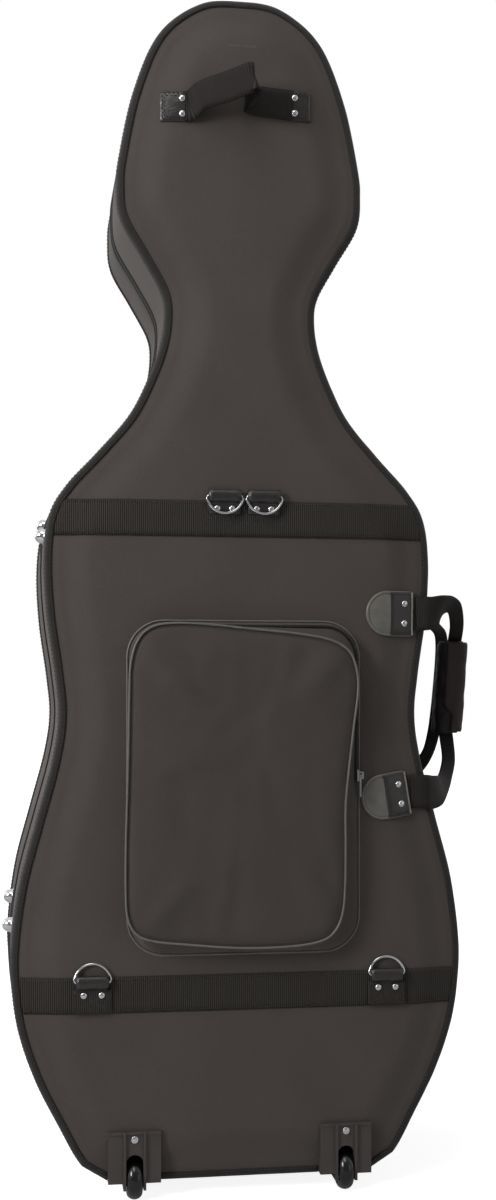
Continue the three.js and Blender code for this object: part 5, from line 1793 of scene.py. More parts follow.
@dataclass
class SideHandle:
    """Two straps on D-shaped tabs, joined by a padded wrap grip."""

    tab_straight: float = 28.5
    tab_height: float = 51.0
    tab_thickness: float = 3.0
    upper: TabPlace = TabPlace(195.0, 638.0, 0.0)
    lower: TabPlace = TabPlace(189.0, 436.0, 8.7)
    rivet_inset: float = 10.0
    rivet_spacing: float = 22.0
    strap_width: float = 38.0
    strap_folded: float = 17.0
    strap_thickness: float = 2.2
    grip_x: float = 270.4
    grip_y: float = 108.0
    grip_z: float = 556.0
    grip_length: float = 113.0
    grip_width: float = 35.0
    grip_depth: float = 30.0
    grip_tilt: float = 3.9
    patch_length: float = 26.0
    patch_height: float = 48.5
    hinge: float = 5.5
    root_limit: float = 196.0

    @property
    def grip_lean(self) -> float:
        """Returns how far the grip leans out per length."""
        return math.tan(math.radians(self.grip_tilt))

    def tab_outline(self, tab: TabPlace, shrink: float) -> Points:
        """Returns a tab's outline in X and Z, shrunk by a distance, starting at its outer lower corner.

        Args:
            tab: How the tab sits.
            shrink: Distance inwards from the full outline.

        Returns:
            The outline as X and Z.
        """
        radius = self.tab_height / 2 - shrink
        points = [(-shrink, -radius)]
        points += [(-shrink, radius * (k / 8)) for k in range(-7, 8)]
        points += [(-shrink, radius)]
        for k in range(1, 6):
            points.append((-shrink - (self.tab_straight - shrink) * k / 6, radius))
        for k in range(25):
            angle = math.pi / 2 + math.pi * k / 24
            points.append((-self.tab_straight + radius * math.cos(angle), radius * math.sin(angle)))
        for k in range(5, 0, -1):
            points.append((-shrink - (self.tab_straight - shrink) * k / 6, -radius))
        return np.stack(tab.at(*np.array(points).T), 1)

    def build_tab(self, name: str, tab: TabPlace, surface: PanelSurface, body: Body, node: str,
                  rivets: str | None) -> None:
        """Builds one D-shaped tab with its rim seam, raised pad and rivets.

        Args:
            name: Name of the piece.
            tab: How the tab sits.
            surface: Finished panel that the piece lies on.
            body: Body that the piece rides on.
            node: CAD node that it stands for.
            rivets: CAD node of the tab's rivets, or None.
        """
        levels = [
            (0.0, 0.1), (0.0, 1.6), (0.5, 2.4), (1.4, 2.9), (2.6, 2.75), (3.4, 2.35), (4.2, 2.5), (6.0, 3.0),
            (9.0, 3.35), (14.0, 3.5), (20.0, 3.5)
        ]
        if rivets is None:
            levels = [(s, h * 0.95) for s, h in levels]
        rings = []
        for shrink, level in levels:
            outline = self.tab_outline(tab, shrink)
            rings.append(surface.along(outline, level)[0])
        grid = np.array(rings)
        uv = panel_uv(grid)
        piece = grid_object(f"{name}_leatherette", grid, closed_columns=True, capped=True, uv=uv)
        # Painted highlight: the back tabs take the pale copy of the leatherette for the gloss on their faces,
        # and the lid's tabs stay dark.
        settle(piece, HIGHLIGHT_PAINTED_LEATHERETTE if rivets else LEATHERETTE, body, node)
        seam = surface.along(resampled(looped(self.tab_outline(tab, 3.4)), 2.5), 2.45)
        settle(FINE_STITCHES.build(f"{name}_stitches", [seam]), THREAD, body)
        self.build_patch(name, tab, surface, body)
        if rivets:
            places = [
                surface.place(*tab.at(-self.rivet_inset, end * self.rivet_spacing / 2), 4.7)
                for end in (-1, 1)
            ]
            build_rivets(f"{name}_rivet_heads", places, rivets)

    def build_patch(self, name: str, tab: TabPlace, surface: PanelSurface, body: Body) -> None:
        """Builds the strap's sewn end on a tab, its stitches, the welt beside it and the short root strap.

        Args:
            name: Name of the piece.
            tab: How the tab sits.
            surface: Finished panel that the piece lies on.
            body: Body that the piece rides on.
        """
        half, columns, rows = self.patch_height / 2, 14, 24
        face, rear = [], []
        for j in range(rows + 1):
            across = -half + 2 * half * j / rows
            line = np.array([
                tab.at(-self.patch_length + (self.patch_length - 0.6) * i / columns, across)
                for i in range(columns + 1)
            ])
            round_z = plateau(j / rows, 10)
            tops = [3.3 + 1.7 * (0.3 + 0.7 * round_z * plateau(i / columns, 10)) for i in range(columns + 1)]
            face.append([surface.place(x, zz, level)[0] for (x, zz), level in zip(line, tops)])
            rear.append(surface.along(line, 2.6)[0])
        grid = np.array(face + rear[::-1])
        uv = panel_uv(grid)
        settle(grid_object(f"{name}_strap_end", grid, closed_rows=True, uv=uv), LEATHERETTE, body)
        inset = 2.0
        corners = [tab.at(a, b) for a, b in ((
            -self.patch_length + inset, -half + inset
        ), (-1.5 - inset, -half + inset),
                                             (-1.5 - inset, half - inset), (
                                                 -self.patch_length + inset, half - inset
                                             ))]
        seam = surface.along(resampled(np.array(corners + corners[:1]), 2.0), 5.0)
        settle(STITCHES.build(f"{name}_strap_stitches", [seam]), THREAD, body)
        reach = self.tab_height / 2 - 1.5
        welt = np.array([tab.at(0.2, -reach + 2 * reach * k / 16) for k in range(17)])
        # Painted highlight: the welt's pale tone stands for light caught along the step at the tab's edge.
        settle(tube_object(f"{name}_welt", surface.along(welt, 3.2)[0], 1.35, 12), WELT, body)
        keys = [(self.strap_point(tab, surface, distance, level), tab.across, self.strap_width)
                for distance, level in ((-3.0, 1.6), (0.5, 1.8), (self.hinge - 1.8, 2.0))]
        grid, uv = strap_grid(keys, self.strap_thickness, steps=3)
        settle(
            grid_object(f"{name}_root_strap", grid, closed_columns=True, capped=True, uv=uv), WEBBING, body
        )

    def strap_point(self, tab: TabPlace, surface: PanelSurface, distance: float, level: float) -> Points:
        """Returns a place on a strap past its tab, at the height of the panel where the panel ends."""
        x, z = tab.at(distance, 0.0)
        return surface.place(min(x, self.root_limit), z, level)[0] + (max(0.0, x - self.root_limit), 0, 0)

    def strap_keys(self, surface: PanelSurface, side: Side) -> list[tuple[Points, Points, float]]:
        """Returns a strap's stations from the upper tab through the grip to the lower tab.

        Args:
            surface: Finished panel that the piece lies on.
            side: Shell that the strap belongs to.

        Returns:
            Middle, direction of the width and width at each station.
        """
        upper, lower = (self.strap_point(tab, surface, self.hinge, 2.3) for tab in (self.upper, self.lower))
        wide, slim = self.strap_width, self.strap_folded
        if side is Side.BACK:
            stations = (
                ((212.0, -6.5, 638.5), (0.05, 0, 1), wide), ((221.0, -3.0, 640.0), (0.15, 0, 1), wide * 0.96),
                (
                    (233.0, 6.0, 645.0), (0.35, 0, 0.95), wide * 0.84
                ), ((247.0, 26.0, 650.0), (0.6, 0, 0.8), slim * 1.4),
                ((262.0, 52.0, 648.0), (0.9, 0, 0.5), slim * 1.1), ((273.5, 82.0, 632.0), (1, 0, 0.15), slim),
                ((277.0, 101.0, 615.0), (1, 0, 0), slim), ((275.5, 108.0, 600.0), (1, 0, 0), slim),
                ((270.4, 108.0, 556.0), (1, 0, 0), slim), ((266.0, 108.0, 511.0), (1, 0, 0), slim),
                ((267.5, 106.0, 495.0), (1, 0, 0), slim), ((267.0, 95.0, 470.0), (0.95, 0, -0.35), slim),
                (
                    (258.0, 75.0, 452.0), (0.75, 0, -0.7), slim * 1.1
                ), ((247.0, 50.0, 441.0), (0.4, 0, -0.9), slim * 1.5),
                ((236.0, 24.0, 436.5), (0.15, 0, -1), wide * 0.9), ((222.0, 4.0, 435.5), (0.05, 0, -1), wide),
                ((211.0, -5.0, 437.0), (0.1, 0, -1), wide),
            )
        else:
            thin = slim * 0.9
            stations = (
                ((222.0, 236.0, 641.0), (0.1, 0, 1), wide), (
                    (236.0, 212.0, 642.0), (0.4, 0, 0.9), wide * 0.7
                ),
                (
                    (252.0, 165.0, 641.0), (0.8, 0, 0.6), thin * 1.1
                ), ((262.0, 135.0, 630.0), (1, 0, 0.2), thin),
                ((267.0, 125.5, 612.0), (1, 0, 0), thin), ((263.5, 124.6, 556.0), (1, 0, 0), thin),
                ((256.5, 124.6, 500.0), (1, 0, 0), thin), ((251.0, 146.0, 468.0), (0.9, 0, -0.4), thin),
                (
                    (240.0, 188.0, 449.0), (0.5, 0, -0.85), wide * 0.7
                ), ((228.0, 222.0, 440.0), (0.1, 0, -1), wide),
            )
        keys = [(upper, self.upper.across, wide)]
        keys += [(np.array(place), np.array(across, float), width) for place, across, width in stations]
        keys.append((lower, -self.lower.across, wide))
        return keys

    def build_grip(self) -> None:
        """Builds the padded wrap: a soft tube with gathers, hemmed ends and the flap's long edge."""
        sides, rows = 56, 60
        half = self.grip_length / 2 - 1.0
        grid = []
        for j in range(rows + 1):
            share = 2 * j / rows - 1
            hem = max(0.0, (abs(share) - 0.90) / 0.10)
            taper = 1.0 - 0.10 * hem ** 2 - 0.05 * abs(share) ** 3
            ring = []
            for i in range(sides):
                angle = 2 * math.pi * i / sides
                c, s = math.cos(angle), math.sin(angle)
                squarish = squareness(c, s)
                gather = uneven(c * 1.4, s * 1.4, share * 3.2) * 1.5 + uneven(
                    c * 3.0, s * 3.0 + 5, share * 9.0
                ) * 0.7
                flap = 0.9 if 0.9 < angle < 2.35 else 0.0
                w = (self.grip_width / 2 - 1.2 + gather + flap) * taper * squarish
                d = (self.grip_depth / 2 - 1.2 + gather + flap) * taper * squarish
                x = self.grip_x + w * c + half * share * self.grip_lean
                ring.append((x, self.grip_y + d * s, self.grip_z + half * share))
            grid.append(ring)
        inner = []
        turns = [2 * math.pi * i / sides for i in range(sides)]
        reach = self.strap_folded / 2 + 1.5
        for share in (1.0, 0.94):
            x, z = self.grip_x + half * share * self.grip_lean, self.grip_z + half * share
            inner.append([
                (x + reach * math.cos(turn), self.grip_y + 4.0 * math.sin(turn), z) for turn in turns
            ])
        low = [
            [(x - 2 * half * s * self.grip_lean, y, 2 * self.grip_z - z) for x, y, z in ring] for ring,
            s in zip(inner, (1.0, 0.94))
        ]
        grid = np.array(low[::-1] + grid + inner)
        uv = np.stack([np.broadcast_to(np.arange(sides) * 2.0, grid.shape[:2]), grid[:, :, 2]], 2)
        grip = grid_object("handle_grip_wrap", grid, closed_columns=True, capped=True, uv=uv)
        settle(grip, WRAP_CLOTH, Body.SIDE_HANDLE, "handle_grip")
        self.build_flap()

    def build_flap(self) -> None:
        """Builds the wrap's overlapping flap, whose edge runs aslant down the front."""
        rows, columns = 44, 30
        half = self.grip_length / 2 - 2.5
        grid = []
        for j in range(rows + 1):
            share = 2 * j / rows - 1
            z = half * share
            start = 2.0 - 10.0 * eased((z + 36) / 17) + 0.5 * uneven(z / 6.0, 0, 0)
            first = -math.pi / 2 + math.asin(max(-0.9, min(0.9, start / (self.grip_width / 2))))
            outer, inner = [], []
            for i in range(columns + 1):
                angle = first + (math.pi * 0.92) * i / columns
                c, s = math.cos(angle), math.sin(angle)
                squarish = squareness(c, s)
                puff = uneven(c * 2.0, s * 2.0, share * 4.0 + 9) * 0.9
                edge = min(1.0, i / 1.5) * min(1.0, (columns - i) / 1.5) * min(1.0, min(j, rows - j) / 1.2)
                for run, rise in ((outer, 0.5 + 1.15 * edge + puff * edge), (inner, -1.0)):
                    w, d = (self.grip_width / 2 + rise) * squarish, (self.grip_depth / 2 + rise) * squarish
                    run.append((
                        self.grip_x + w * c + z * self.grip_lean, self.grip_y + d * s, self.grip_z + z
                    ))
            grid.append(outer + inner[::-1])
        grid = np.array(grid)
        uv = np.stack([np.broadcast_to(np.arange(grid.shape[1]) * 1.6, grid.shape[:2]), grid[:, :, 2]], 2)
        flap = grid_object("handle_grip_flap", grid, closed_columns=True, capped=True, uv=uv)
        # Painted light: the flap takes a lighter copy of the grip cloth where light falls on the grip's right
        # part.
        settle(flap, PAINTED_LIGHT_FLAP_CLOTH, Body.SIDE_HANDLE)

    def build(self, surfaces: dict[Side, PanelSurface]) -> None:
        """Builds tabs, straps and grip on both shells.

        Args:
            surfaces: Finished panel of each shell.
        """
        back, lid = surfaces[Side.BACK], surfaces[Side.LID]
        self.build_tab(
            "upper_handle_tab", self.upper, back, Body.BACK, "upper_handle_tab", "upper_handle_rivets"
        )
        self.build_tab(
            "lower_handle_tab", self.lower, back, Body.BACK, "lower_handle_tab", "lower_handle_rivets"
        )
        self.build_tab("lid_upper_tab", self.upper, lid, Body.LID, "lid_upper_tab", None)
        self.build_tab("lid_lower_tab", self.lower, lid, Body.LID, "lid_lower_tab", None)
        for side, body, node in (
            (Side.BACK, Body.SIDE_HANDLE, "back_handle_strap"),
            (Side.LID, Body.LID_HANDLE, "lid_handle_strap")
        ):
            grid, uv = strap_grid(self.strap_keys(surfaces[side], side), self.strap_thickness)
            strap = grid_object(f"{node}_webbing", grid, closed_columns=True, capped=True, uv=uv)
            settle(strap, WEBBING, body, node)
        self.build_grip()
        log.info("side handle")


@dataclass
class MusicPocket:
    """Padded pocket with piping, gusset, zip and pull."""

    piping_keys: tuple[tuple[float, float], ...] = (
        (113.0, 381.0), (113.0, 424.0), (117.0, 467.0), (122.0, 510.0), (127.0, 553.0), (124.0, 580.0),
        (114.5, 597.0), (93.0, 607.5), (57.0, 613.5), (10.0, 618.0), (-50.0, 623.5), (-88.0, 623.0),
        (-107.0, 615.5), (-118.0, 600.0), (-123.5, 577.0), (-124.5, 550.0), (-126.0, 469.0), (-128.4, 381.0),
        (-128.4, 327.0), (-126.0, 303.0), (-116.5, 287.0), (-98.0, 279.5), (-60.0, 275.0), (-10.0, 270.5),
        (40.0, 270.0), (80.0, 274.0), (99.5, 284.0), (109.5, 305.0), (112.5, 338.0),
    )
    width: float = 258.0
    height: float = 367.0
    centre_x: float = 3.5
    centre_z: float = 444.0
    depth: float = 22.0
    taper: float = 7.0
    round_: float = 40.0
    crown: float = 4.0
    base: float = FIELD_LEVEL
    piping: float = 1.3
    slider_height: float = 457.0

    def outline(self, shrink: float, count: int = 200) -> Points:
        """Returns the pocket's outline in X and Z, shrunk by a distance, from the right middle round."""
        path = spline(np.array(self.piping_keys + self.piping_keys[:1]), 10)
        path = spaced(path, count)
        ahead = np.roll(path, -2, axis=0) - np.roll(path, 2, axis=0)
        inwards = unit(np.stack([-ahead[:, 1], ahead[:, 0]], 1))
        for _ in range(3):
            inwards = unit(inwards + np.roll(inwards, 1, axis=0) + np.roll(inwards, -1, axis=0))
        return path + inwards * (shrink - self.taper)

    def base_outline(self, shrink: float, count: int = 200) -> Points:
        """Returns the rounded rectangle of the gusset's base, from the right middle round.

        Args:
            shrink: Distance inwards from the full outline.
            count: Number of points.

        Returns:
            The outline as X and Z.
        """
        w, h = self.width / 2 - shrink, self.height / 2 - shrink
        r = max(self.round_ - shrink * 0.8, 4.0)
        path = [(w, -63.0)]
        for cx, cz, quarter in (
            (w - r, h - r, 0), (-(w - r), h - r, 1), (-(w - r), -(h - r), 2), (w - r, -(h - r), 3)
        ):
            path += [(
                cx + r * math.cos((quarter + k / 16) * math.pi / 2),
                cz + r * math.sin((quarter + k / 16) * math.pi / 2)
            )
                     for k in range(17)]
        return spaced(np.array(path + path[:1]) + (self.centre_x, self.centre_z), count)

    def creases(self, points: Points) -> Points:
        """Returns the face's soft folds: pulls from the corners and a shallow sag in the middle."""
        x = (points[:, 0] - self.centre_x) / (self.width / 2)
        z = (points[:, 1] - self.centre_z) / (self.height / 2)
        folds = np.zeros(len(points))
        for sx, sz, strength, spread, bend in (
            (-1, 1, 1.5, 0.085, 0.25), (1, 1, 1.6, 0.10, -0.2), (1, -1, 1.5, 0.09, 0.2),
            (-1, -1, 1.2, 0.08, -0.25), (-1, 0.2, 0.7, 0.07, 0.5), (1, -0.35, 0.8, 0.07, 0.35),
            (0.45, 1, 0.6, 0.07, 0.1), (-0.3, -1, 0.6, 0.06, 0.15),
        ):
            dx, dz = sx - x, sz - z
            reach = np.sqrt(dx ** 2 + dz ** 2)
            across = (dx * sz - dz * sx) / math.hypot(sx, sz) + bend * (reach - 0.2) ** 2
            near = np.exp(-((reach - 0.45) / 0.38) ** 2)
            folds += strength * near * np.exp(-(across / spread) ** 2)
            folds -= 0.55 * strength * near * np.exp(-((across - 1.9 * spread) / (1.3 * spread)) ** 2)
        return folds

    def build_face(self) -> None:
        """Builds the pocket's cloth: gusset, crowned face and folds, in one piece."""
        count = 200
        rings = []
        face_y = self.base - self.depth
        for share in (0.0, 0.12, 0.3, 0.5, 0.7, 0.88, 1.0):
            pull = eased((share - 0.55) / 0.45)
            straight = self.base_outline(self.taper * share + 1.3 * math.sin(math.pi * share), count)
            outline = straight + (self.outline(self.taper, count) - straight) * pull
            wave = np.array([
                uneven(p[0] / 30.0, share * 2, p[1] / 30.0) for p in outline
            ]) * 0.9 * math.sin(math.pi * share)
            towards = unit(outline - (self.centre_x, self.centre_z))
            moved = outline - towards * wave[:, None]
            rings.append(level_path(moved, self.base + 0.6 - (self.depth + 0.6) * share))
        piping = self.outline(self.taper, count)

        def faced(points: Points) -> Points:
            """Returns points of the outline's plane moved onto the crowned and folded face."""
            inner = np.array([np.linalg.norm(piping - p, axis=1).min() for p in points])
            rise = self.crown * (1 - np.exp(-inner / 14.0)) - 1.2 * np.exp(-((inner - 2.5) / 3.0) ** 2)
            fade = np.clip((inner - 2.0) / 16.0, 0, 1)
            flat = level_path(points, 0.0)
            folds = (1.5 * self.creases(points) + ripple(flat, 1.6, 0.8)) * fade
            return np.stack([points[:, 0], face_y - rise - folds, points[:, 1]], 1)

        for shrink in (9.5, 12.0, 15.0):
            rings.append(faced(self.outline(shrink, count)))
        grid = np.array(rings)
        run = np.linspace(0, 2 * (self.width + self.height), count)
        uv = panel_uv(grid)
        for k in range(6):
            uv[k, :, 0] = run
            uv[k, :, 1] = grid[k, :, 1]
        rows, columns = grid.shape[:2]
        faces = grid_faces(rows, columns, closed_columns=True)
        last = (rows - 1) * columns
        rim = grid[-1][:, (0, 2)]
        lattice = np.array([(x, z) for x in np.arange(rim[:, 0].min(), rim[:, 0].max(), 4.5)
                            for z in np.arange(rim[:, 1].min(), rim[:, 1].max(), 4.5)])
        room = 15.0 + 3.0
        deep = np.array([np.linalg.norm(piping - p, axis=1).min() > room - self.taper for p in lattice])
        pool = [Vector(p) for p in np.concatenate([rim, lattice[deep]])]
        ties = [(k, (k + 1) % columns) for k in range(columns)]
        flat, _, triangles, sources, _, _ = delaunay_2d_cdt(pool, ties, [], 1, 1e-4)
        index, fresh = [], []
        for place, source in zip(flat, sources):
            if source and source[0] < columns:
                index.append(last + source[0])
            else:
                index.append(rows * columns + len(fresh))
                fresh.append(tuple(place))
        fresh = faced(np.array(fresh))
        faces += [tuple(index[i] for i in triangle) for triangle in triangles]
        points = np.concatenate([grid.reshape(-1, 3), fresh])
        uv = np.concatenate([uv.reshape(-1, 2), fresh[:, (0, 2)]])
        pouch = make_object("pocket_cloth_pouch", points, faces, uv)
        face_outwards(pouch)
        settle(pouch, POCKET_CLOTH, Body.BACK, "pocket_pouch")

    def build_trim(self) -> None:
        """Builds the piping, the base seam, the zip round the upper half and its stitches."""
        face_y = self.base - self.depth
        for name, outline, y, radius in (
            ("pocket_face_piping", self.outline(self.taper - 0.5, 240), face_y - 0.6, self.piping),
            ("pocket_base_piping", self.base_outline(-0.6, 240), self.base - 1.2, 1.2),
        ):
            path = level_path(outline, y)
            # Painted highlight: the piping's pale tone stands for the light along its round edge.
            settle(tube_object(name, path, radius, 12, closed=True), PIPING, Body.BACK)
        seam = self.outline(self.taper + 3.4, 300)
        path = level_path(seam, face_y + 0.1)
        rows = [(looped(path), facing_back(len(path) + 1))]
        settle(FINE_STITCHES.build("pocket_face_stitches", rows), THREAD, Body.BACK)
        outline = self.base_outline(self.taper * 0.45 + 1.9, 900)
        upper = outline[outline[:, 1] > self.slider_height - 6.0]
        order = np.argsort(np.arctan2(upper[:, 1] - self.slider_height + 8, upper[:, 0] - self.centre_x))
        upper = upper[order]
        lean = math.atan2(self.taper, self.depth)
        line = resampled(upper, 1.5)
        tangent = unit(np.gradient(line, axis=0))
        outward = np.stack([tangent[:, 1], -tangent[:, 0]], 1)
        section = (
            (-4.2, 0.0), (-4.2, 0.7), (-1.7, 0.8), (-1.5, 1.6), (1.5, 1.6), (1.7, 0.8), (4.2, 0.7), (4.2, 0.0)
        )
        y_mid = self.base - self.depth * 0.5
        grid = []
        for k, (p, o) in enumerate(zip(line, outward)):
            ridge = 0.28 if k % 2 else 0.0
            ring = []
            for along, high in section:
                rise = high - (ridge if high > 1.0 else 0.0)
                out = rise * math.cos(lean) - along * math.sin(lean)
                ring.append((
                    p[0] + o[0] * out, y_mid - rise * math.sin(lean) - along * math.cos(lean),
                    p[1] + o[1] * out
                ))
            grid.append(ring)
        grid = np.array(grid)
        uv = np.stack([np.broadcast_to(arc_lengths(line)[:, None], grid.shape[:2]), grid[:, :, 1]], 2)
        zip_strip = grid_object("pocket_zip", grid, closed_columns=True, capped=True, uv=uv)
        settle(zip_strip, ZIP_CLOTH, Body.BACK)

    def build(self) -> None:
        """Builds the pocket."""
        self.build_face()
        self.build_trim()
        dress_node("pocket_slider", SILVER_METAL, 0.4)
        dress_node("pocket_pull", SILVER_METAL, 0.3)
        log.info("music pocket")


@dataclass
class Wheels:
    """Wheels, their moulded brackets, axles and cross-head screws."""

    centre_z: float = 13.0
    radius: float = 22.0
    width: float = 17.4
    crown: float = 7.0
    hub: float = 9.0
    bore: float = 3.35
    screw_z: float = 59.0
    face: float = -12.0
    head: float = 4.2

    def wheel_profile(self) -> list[tuple[float, float]]:
        """Returns a wheel's section: hub, recessed web, shoulder and round tread with its mould line."""
        edge = self.width / 2
        shoulder = self.radius - self.crown
        profile = [
            (self.bore, -edge - 0.8), (self.hub - 1, -edge - 0.8), (self.hub, -edge),
            (self.hub + 0.4, -edge + 1.6), (shoulder - 1.4, -edge + 1.6), (shoulder - 0.6, -edge + 0.3)
        ]
        for k in range(1, 24):
            angle = k / 24 * math.pi
            profile.append((
                shoulder + self.crown * math.sin(angle) + (0.08 if k == 12 else 0.0), -edge * math.cos(angle)
            ))
        profile += [(r, -h) for r, h in profile[5::-1]]
        profile.append(profile[0])
        return profile

    def build_screw(self, name: str, x: float) -> None:
        """Builds a pan-head screw with a cross recess.

        Args:
            name: Name of the piece.
            x: X of the middle.
        """
        head = turned_object(
            name, dome(self.head, 2.0, rim=0.5), (x, self.face - 0.3, self.screw_z), (0, -1, 0), 40
        )
        slots = []
        for half_x, half_z in ((2.6, 0.55), (0.55, 2.6)):
            slots.append(box_object(
                "slot", (x - half_x, self.face - 6, self.screw_z - half_z),
                (x + half_x, self.face - 1.1, self.screw_z + half_z)
            ))
        cut(head, slots)
        settle(head, CHROME, Body.BACK, name)

    def build(self) -> None:
        """Builds both wheels with what holds them."""
        for side, name in ((-1, "left"), (1, "right")):
            x = side * WHEEL_OFFSET
            points, faces = lathe(self.wheel_profile(), 96)
            wheel = make_object(
                f"wheel_{name}_tyre", aimed(points, (x, 0, self.centre_z), (1, 0, 0)), faces[:-2]
            )
            face_outwards(wheel)
            settle(wheel, RUBBER, f"{name}_wheel", f"wheel_{name}")
            dress_node(f"wheel_bracket_{name}", PLASTIC, 0.5)
            dress_node(f"axle_{name}", BLACK_METAL, 0.2)
            self.build_screw(f"bracket_screw_{name}", x)
        log.info("wheels")


@dataclass
class Feet:
    """Chromed dome feet on the side walls and under the lid."""

    radius: float = 8.5
    spots: tuple[tuple[str, Body], ...] = (
        ("back_foot_upper", Body.BACK), ("back_foot_lower", Body.BACK), ("lid_foot_upper", Body.LID),
        ("lid_foot_lower", Body.LID), ("stand_foot_left", Body.LID), ("stand_foot_right", Body.LID),
    )

    def build(self) -> None:
        """Builds each foot on the axis of its CAD node, found from the node's own round rim."""
        for node, body in self.spots:
            points = (np.array([v.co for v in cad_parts[node].data.vertices]) - SHIFT) / MM
            centre = points.mean(0)
            axis = np.array((0.0, 0.0, -1.0)) if node.startswith("stand") else self.wall_axis(points)
            along = (points - centre) @ axis
            tip = centre + axis * along.max()
            side = points - centre - np.outer(along, axis)
            rim = np.linalg.norm(side, axis=1) > self.radius * 0.9
            seat_along = along[rim].min()
            height = along.max() - seat_along
            base = tip - axis * height
            profile = [
                (0.0, -0.4), (self.radius + 1.2, -0.4), (self.radius + 1.2, 0.2), (self.radius + 0.4, 0.7),
                (self.radius, 0.8)
            ]
            for k in range(1, 15):
                angle = k / 14 * math.pi / 2
                profile.append((
                    max(2.2 + (self.radius - 2.2) * math.cos(angle), 2.2),
                    0.8 + (height - 0.8) * math.sin(angle)
                ))
            profile.append((1e-3, height))
            settle(turned_object(f"{node}_dome", profile, base, axis, 56), CHROME, body, node)
        log.info("feet")

    def wall_axis(self, points: Points) -> Points:
        """Returns a wall foot's outward direction, along the thinnest spread of its rim."""
        _, _, rows = np.linalg.svd(points - points.mean(0))
        best = min(rows, key=lambda r: -abs(r[0]))
        return -best if best[0] > 0 else best


@dataclass
class Interior:
    """What the lid hides: cradle, strap, end block and bow clips."""

    def build(self) -> None:
        """Dresses the inner fittings."""
        dress_node("neck_cradle", PADDING, 4.0)
        dress_node("end_block", PADDING, 4.0)
        dress_node("neck_strap", WEBBING, 0.6)
        for name in ("left", "right"):
            dress_node(f"bow_clip_{name}", PLASTIC, 1.2)
        log.info("inner fittings")


# Stage, light and camera


@dataclass(frozen=True)
class SoftLight:
    """A soft area light: its place, aim and size in metres and its power in watts."""

    name: str
    place: tuple[float, float, float]
    target: tuple[float, float, float]
    size: tuple[float, float]
    power: float

    def build(self) -> None:
        """Adds the light to the scene."""
        data = bpy.data.lights.new(self.name, "AREA")
        data.shape = "RECTANGLE"
        data.size, data.size_y = self.size
        data.energy = self.power
        obj = linked(self.name, data)
        obj.location = self.place
        obj.rotation_euler = (Vector(self.target) - Vector(self.place)).to_track_quat("-Z", "Y").to_euler()


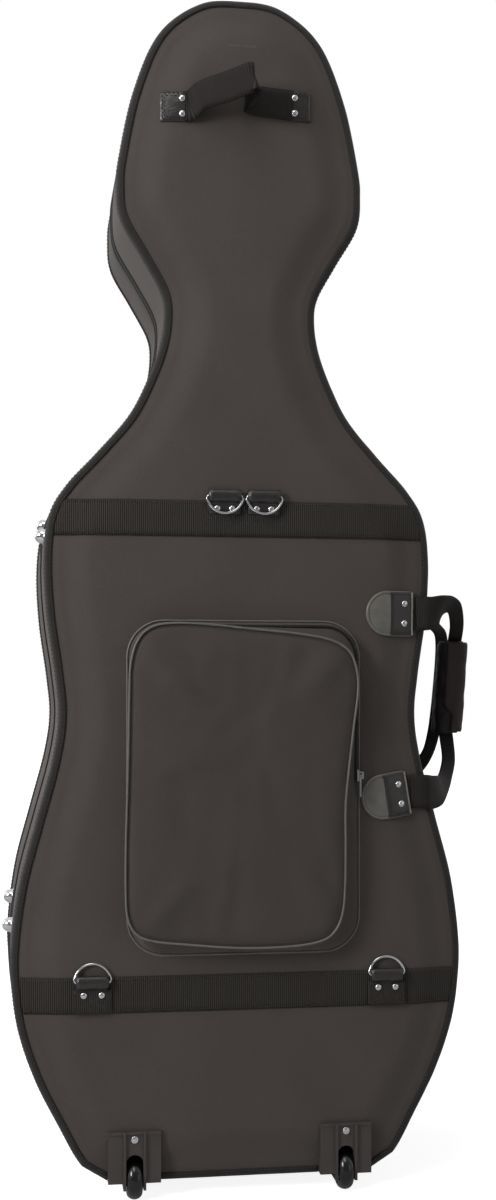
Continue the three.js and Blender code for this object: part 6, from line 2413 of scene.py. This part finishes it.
@dataclass
class Studio:
    """Pale floor, soft lights and the camera at the photograph's angle."""

    camera_x: float = -223.0
    camera_y: float = -1600.0
    camera_z: float = 544.0
    yaw: float = 8.25
    focal_px: float = 1449.0
    frame_height_px: float = 1200.0
    sensor: float = 36.0
    rise_px: float = 97.0
    ambient: float = 0.12
    floor_half: float = 30.0
    lights: tuple[SoftLight, ...] = (
        SoftLight("key_left", (-2.1, -1.45, 1.65), (-0.05, 0, 0.95), (0.7, 1.1), 44),
        SoftLight("fill_right", (2.4, -2.6, 1.0), (0, 0, 0.6), (1.2, 2.0), 5),
        SoftLight("top", (-0.6, -1.2, 2.8), (0, 0, 0.8), (1.2, 1.2), 14),
        SoftLight("rim_left", (-2.4, 1.0, 1.4), (0, 0.1, 0.7), (1.0, 2.2), 9),
    )

    def floor(self) -> None:
        """Builds a wide pale floor that keeps the object's shadow."""
        half = self.floor_half
        mesh = bpy.data.meshes.new("floor")
        mesh.from_pydata(
            [(-half, -half, 0), (half, -half, 0), (half, half, 0), (-half, half, 0)], [], [(0, 1, 2, 3)]
        )
        obj = linked("floor", mesh)
        material, add = new_material("studio_floor_paint")
        nodes = material.node_tree.nodes
        paint = {"Base Color": linear("#f4f4f4"), "Roughness": 0.9, "Specular IOR Level": 0.1}
        connect(material.node_tree, nodes["Principled BSDF"], paint)
        away = add("VectorMath", {0: add("NewGeometry")["Position"]}, operation="LENGTH")["Value"]
        fade = {"Value": away, "From Min": 0.5, "From Max": 1.6, "To Min": 0.88, "To Max": 1.0}
        seen = {0: add("LightPath")["Is Camera Ray"], 1: add("MapRange", fade)["Result"]}
        shine = {"Color": (1, 1, 1, 1), "Strength": add("Math", seen, operation="MULTIPLY")[0]}
        both = add("AddShader", {0: nodes["Principled BSDF"].outputs[0], 1: add("Emission", shine)[0]})[0]
        connect(material.node_tree, nodes["Material Output"], {"Surface": both})
        obj.data.materials.append(material)

    def world(self) -> None:
        """Makes a backdrop, white for camera and metal and darker towards the room, and a dim even light."""
        world = bpy.data.worlds.new("studio")
        bpy.context.scene.world = world
        world.use_nodes = True
        add = partial(add_node, world.node_tree)
        path = add("LightPath")
        towards = add("SeparateXYZ", {0: add("TexCoord")["Generated"]})["Y"]
        room = {"Value": towards, "From Min": -0.75, "From Max": 0.1, "To Min": 0.3, "To Max": 1.0}
        mirrored = add(
            "Math", {0: path["Is Glossy Ray"], 1: path["Is Transmission Ray"]}, operation="MAXIMUM"
        )[0]
        glow = add("Math", {0: mirrored, 1: add("MapRange", room)["Result"]}, operation="MULTIPLY")[0]
        strength = add("Math", {0: glow, 1: self.ambient}, operation="MAXIMUM")[0]
        strength = add("Math", {0: strength, 1: path["Is Camera Ray"]}, operation="MAXIMUM")[0]
        background = {"Color": (1, 1, 1, 1), "Strength": strength}
        connect(world.node_tree, world.node_tree.nodes["Background"], background)

    def camera(self) -> None:
        """Makes the camera: level, turned to the case, with the frame raised as the photograph's is."""
        data = bpy.data.cameras.new("camera")
        data.sensor_width = self.sensor
        data.sensor_fit = "AUTO"
        data.lens = self.focal_px / self.frame_height_px * self.sensor
        data.shift_y = self.rise_px / self.frame_height_px
        data.clip_start, data.clip_end = 0.05, 100.0
        obj = linked("camera", data)
        obj.location = row_point(self.camera_x, self.camera_y, self.camera_z)
        obj.rotation_euler = (math.pi / 2, 0.0, -math.radians(self.yaw))
        bpy.context.scene.camera = obj

    def build(self) -> None:
        """Builds the stage."""
        self.floor()
        self.world()
        for light in self.lights:
            light.build()
        self.camera()
        bpy.context.scene.view_settings.view_transform = "Standard"


def main() -> None:
    """Builds the case, piece by piece."""
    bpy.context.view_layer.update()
    Studio().build()
    shells = Shells()
    shells.build()
    back = shells.surfaces[Side.BACK]
    EdgeTapes().build()
    ZipClosure().build()
    Bands().build(back)
    StrapRings().build()
    NeckHandle().build(back)
    SideHandle().build(shells.surfaces)
    MusicPocket().build()
    Wheels().build()
    Feet().build()
    Interior().build()


if __name__ == "__main__":
    main()
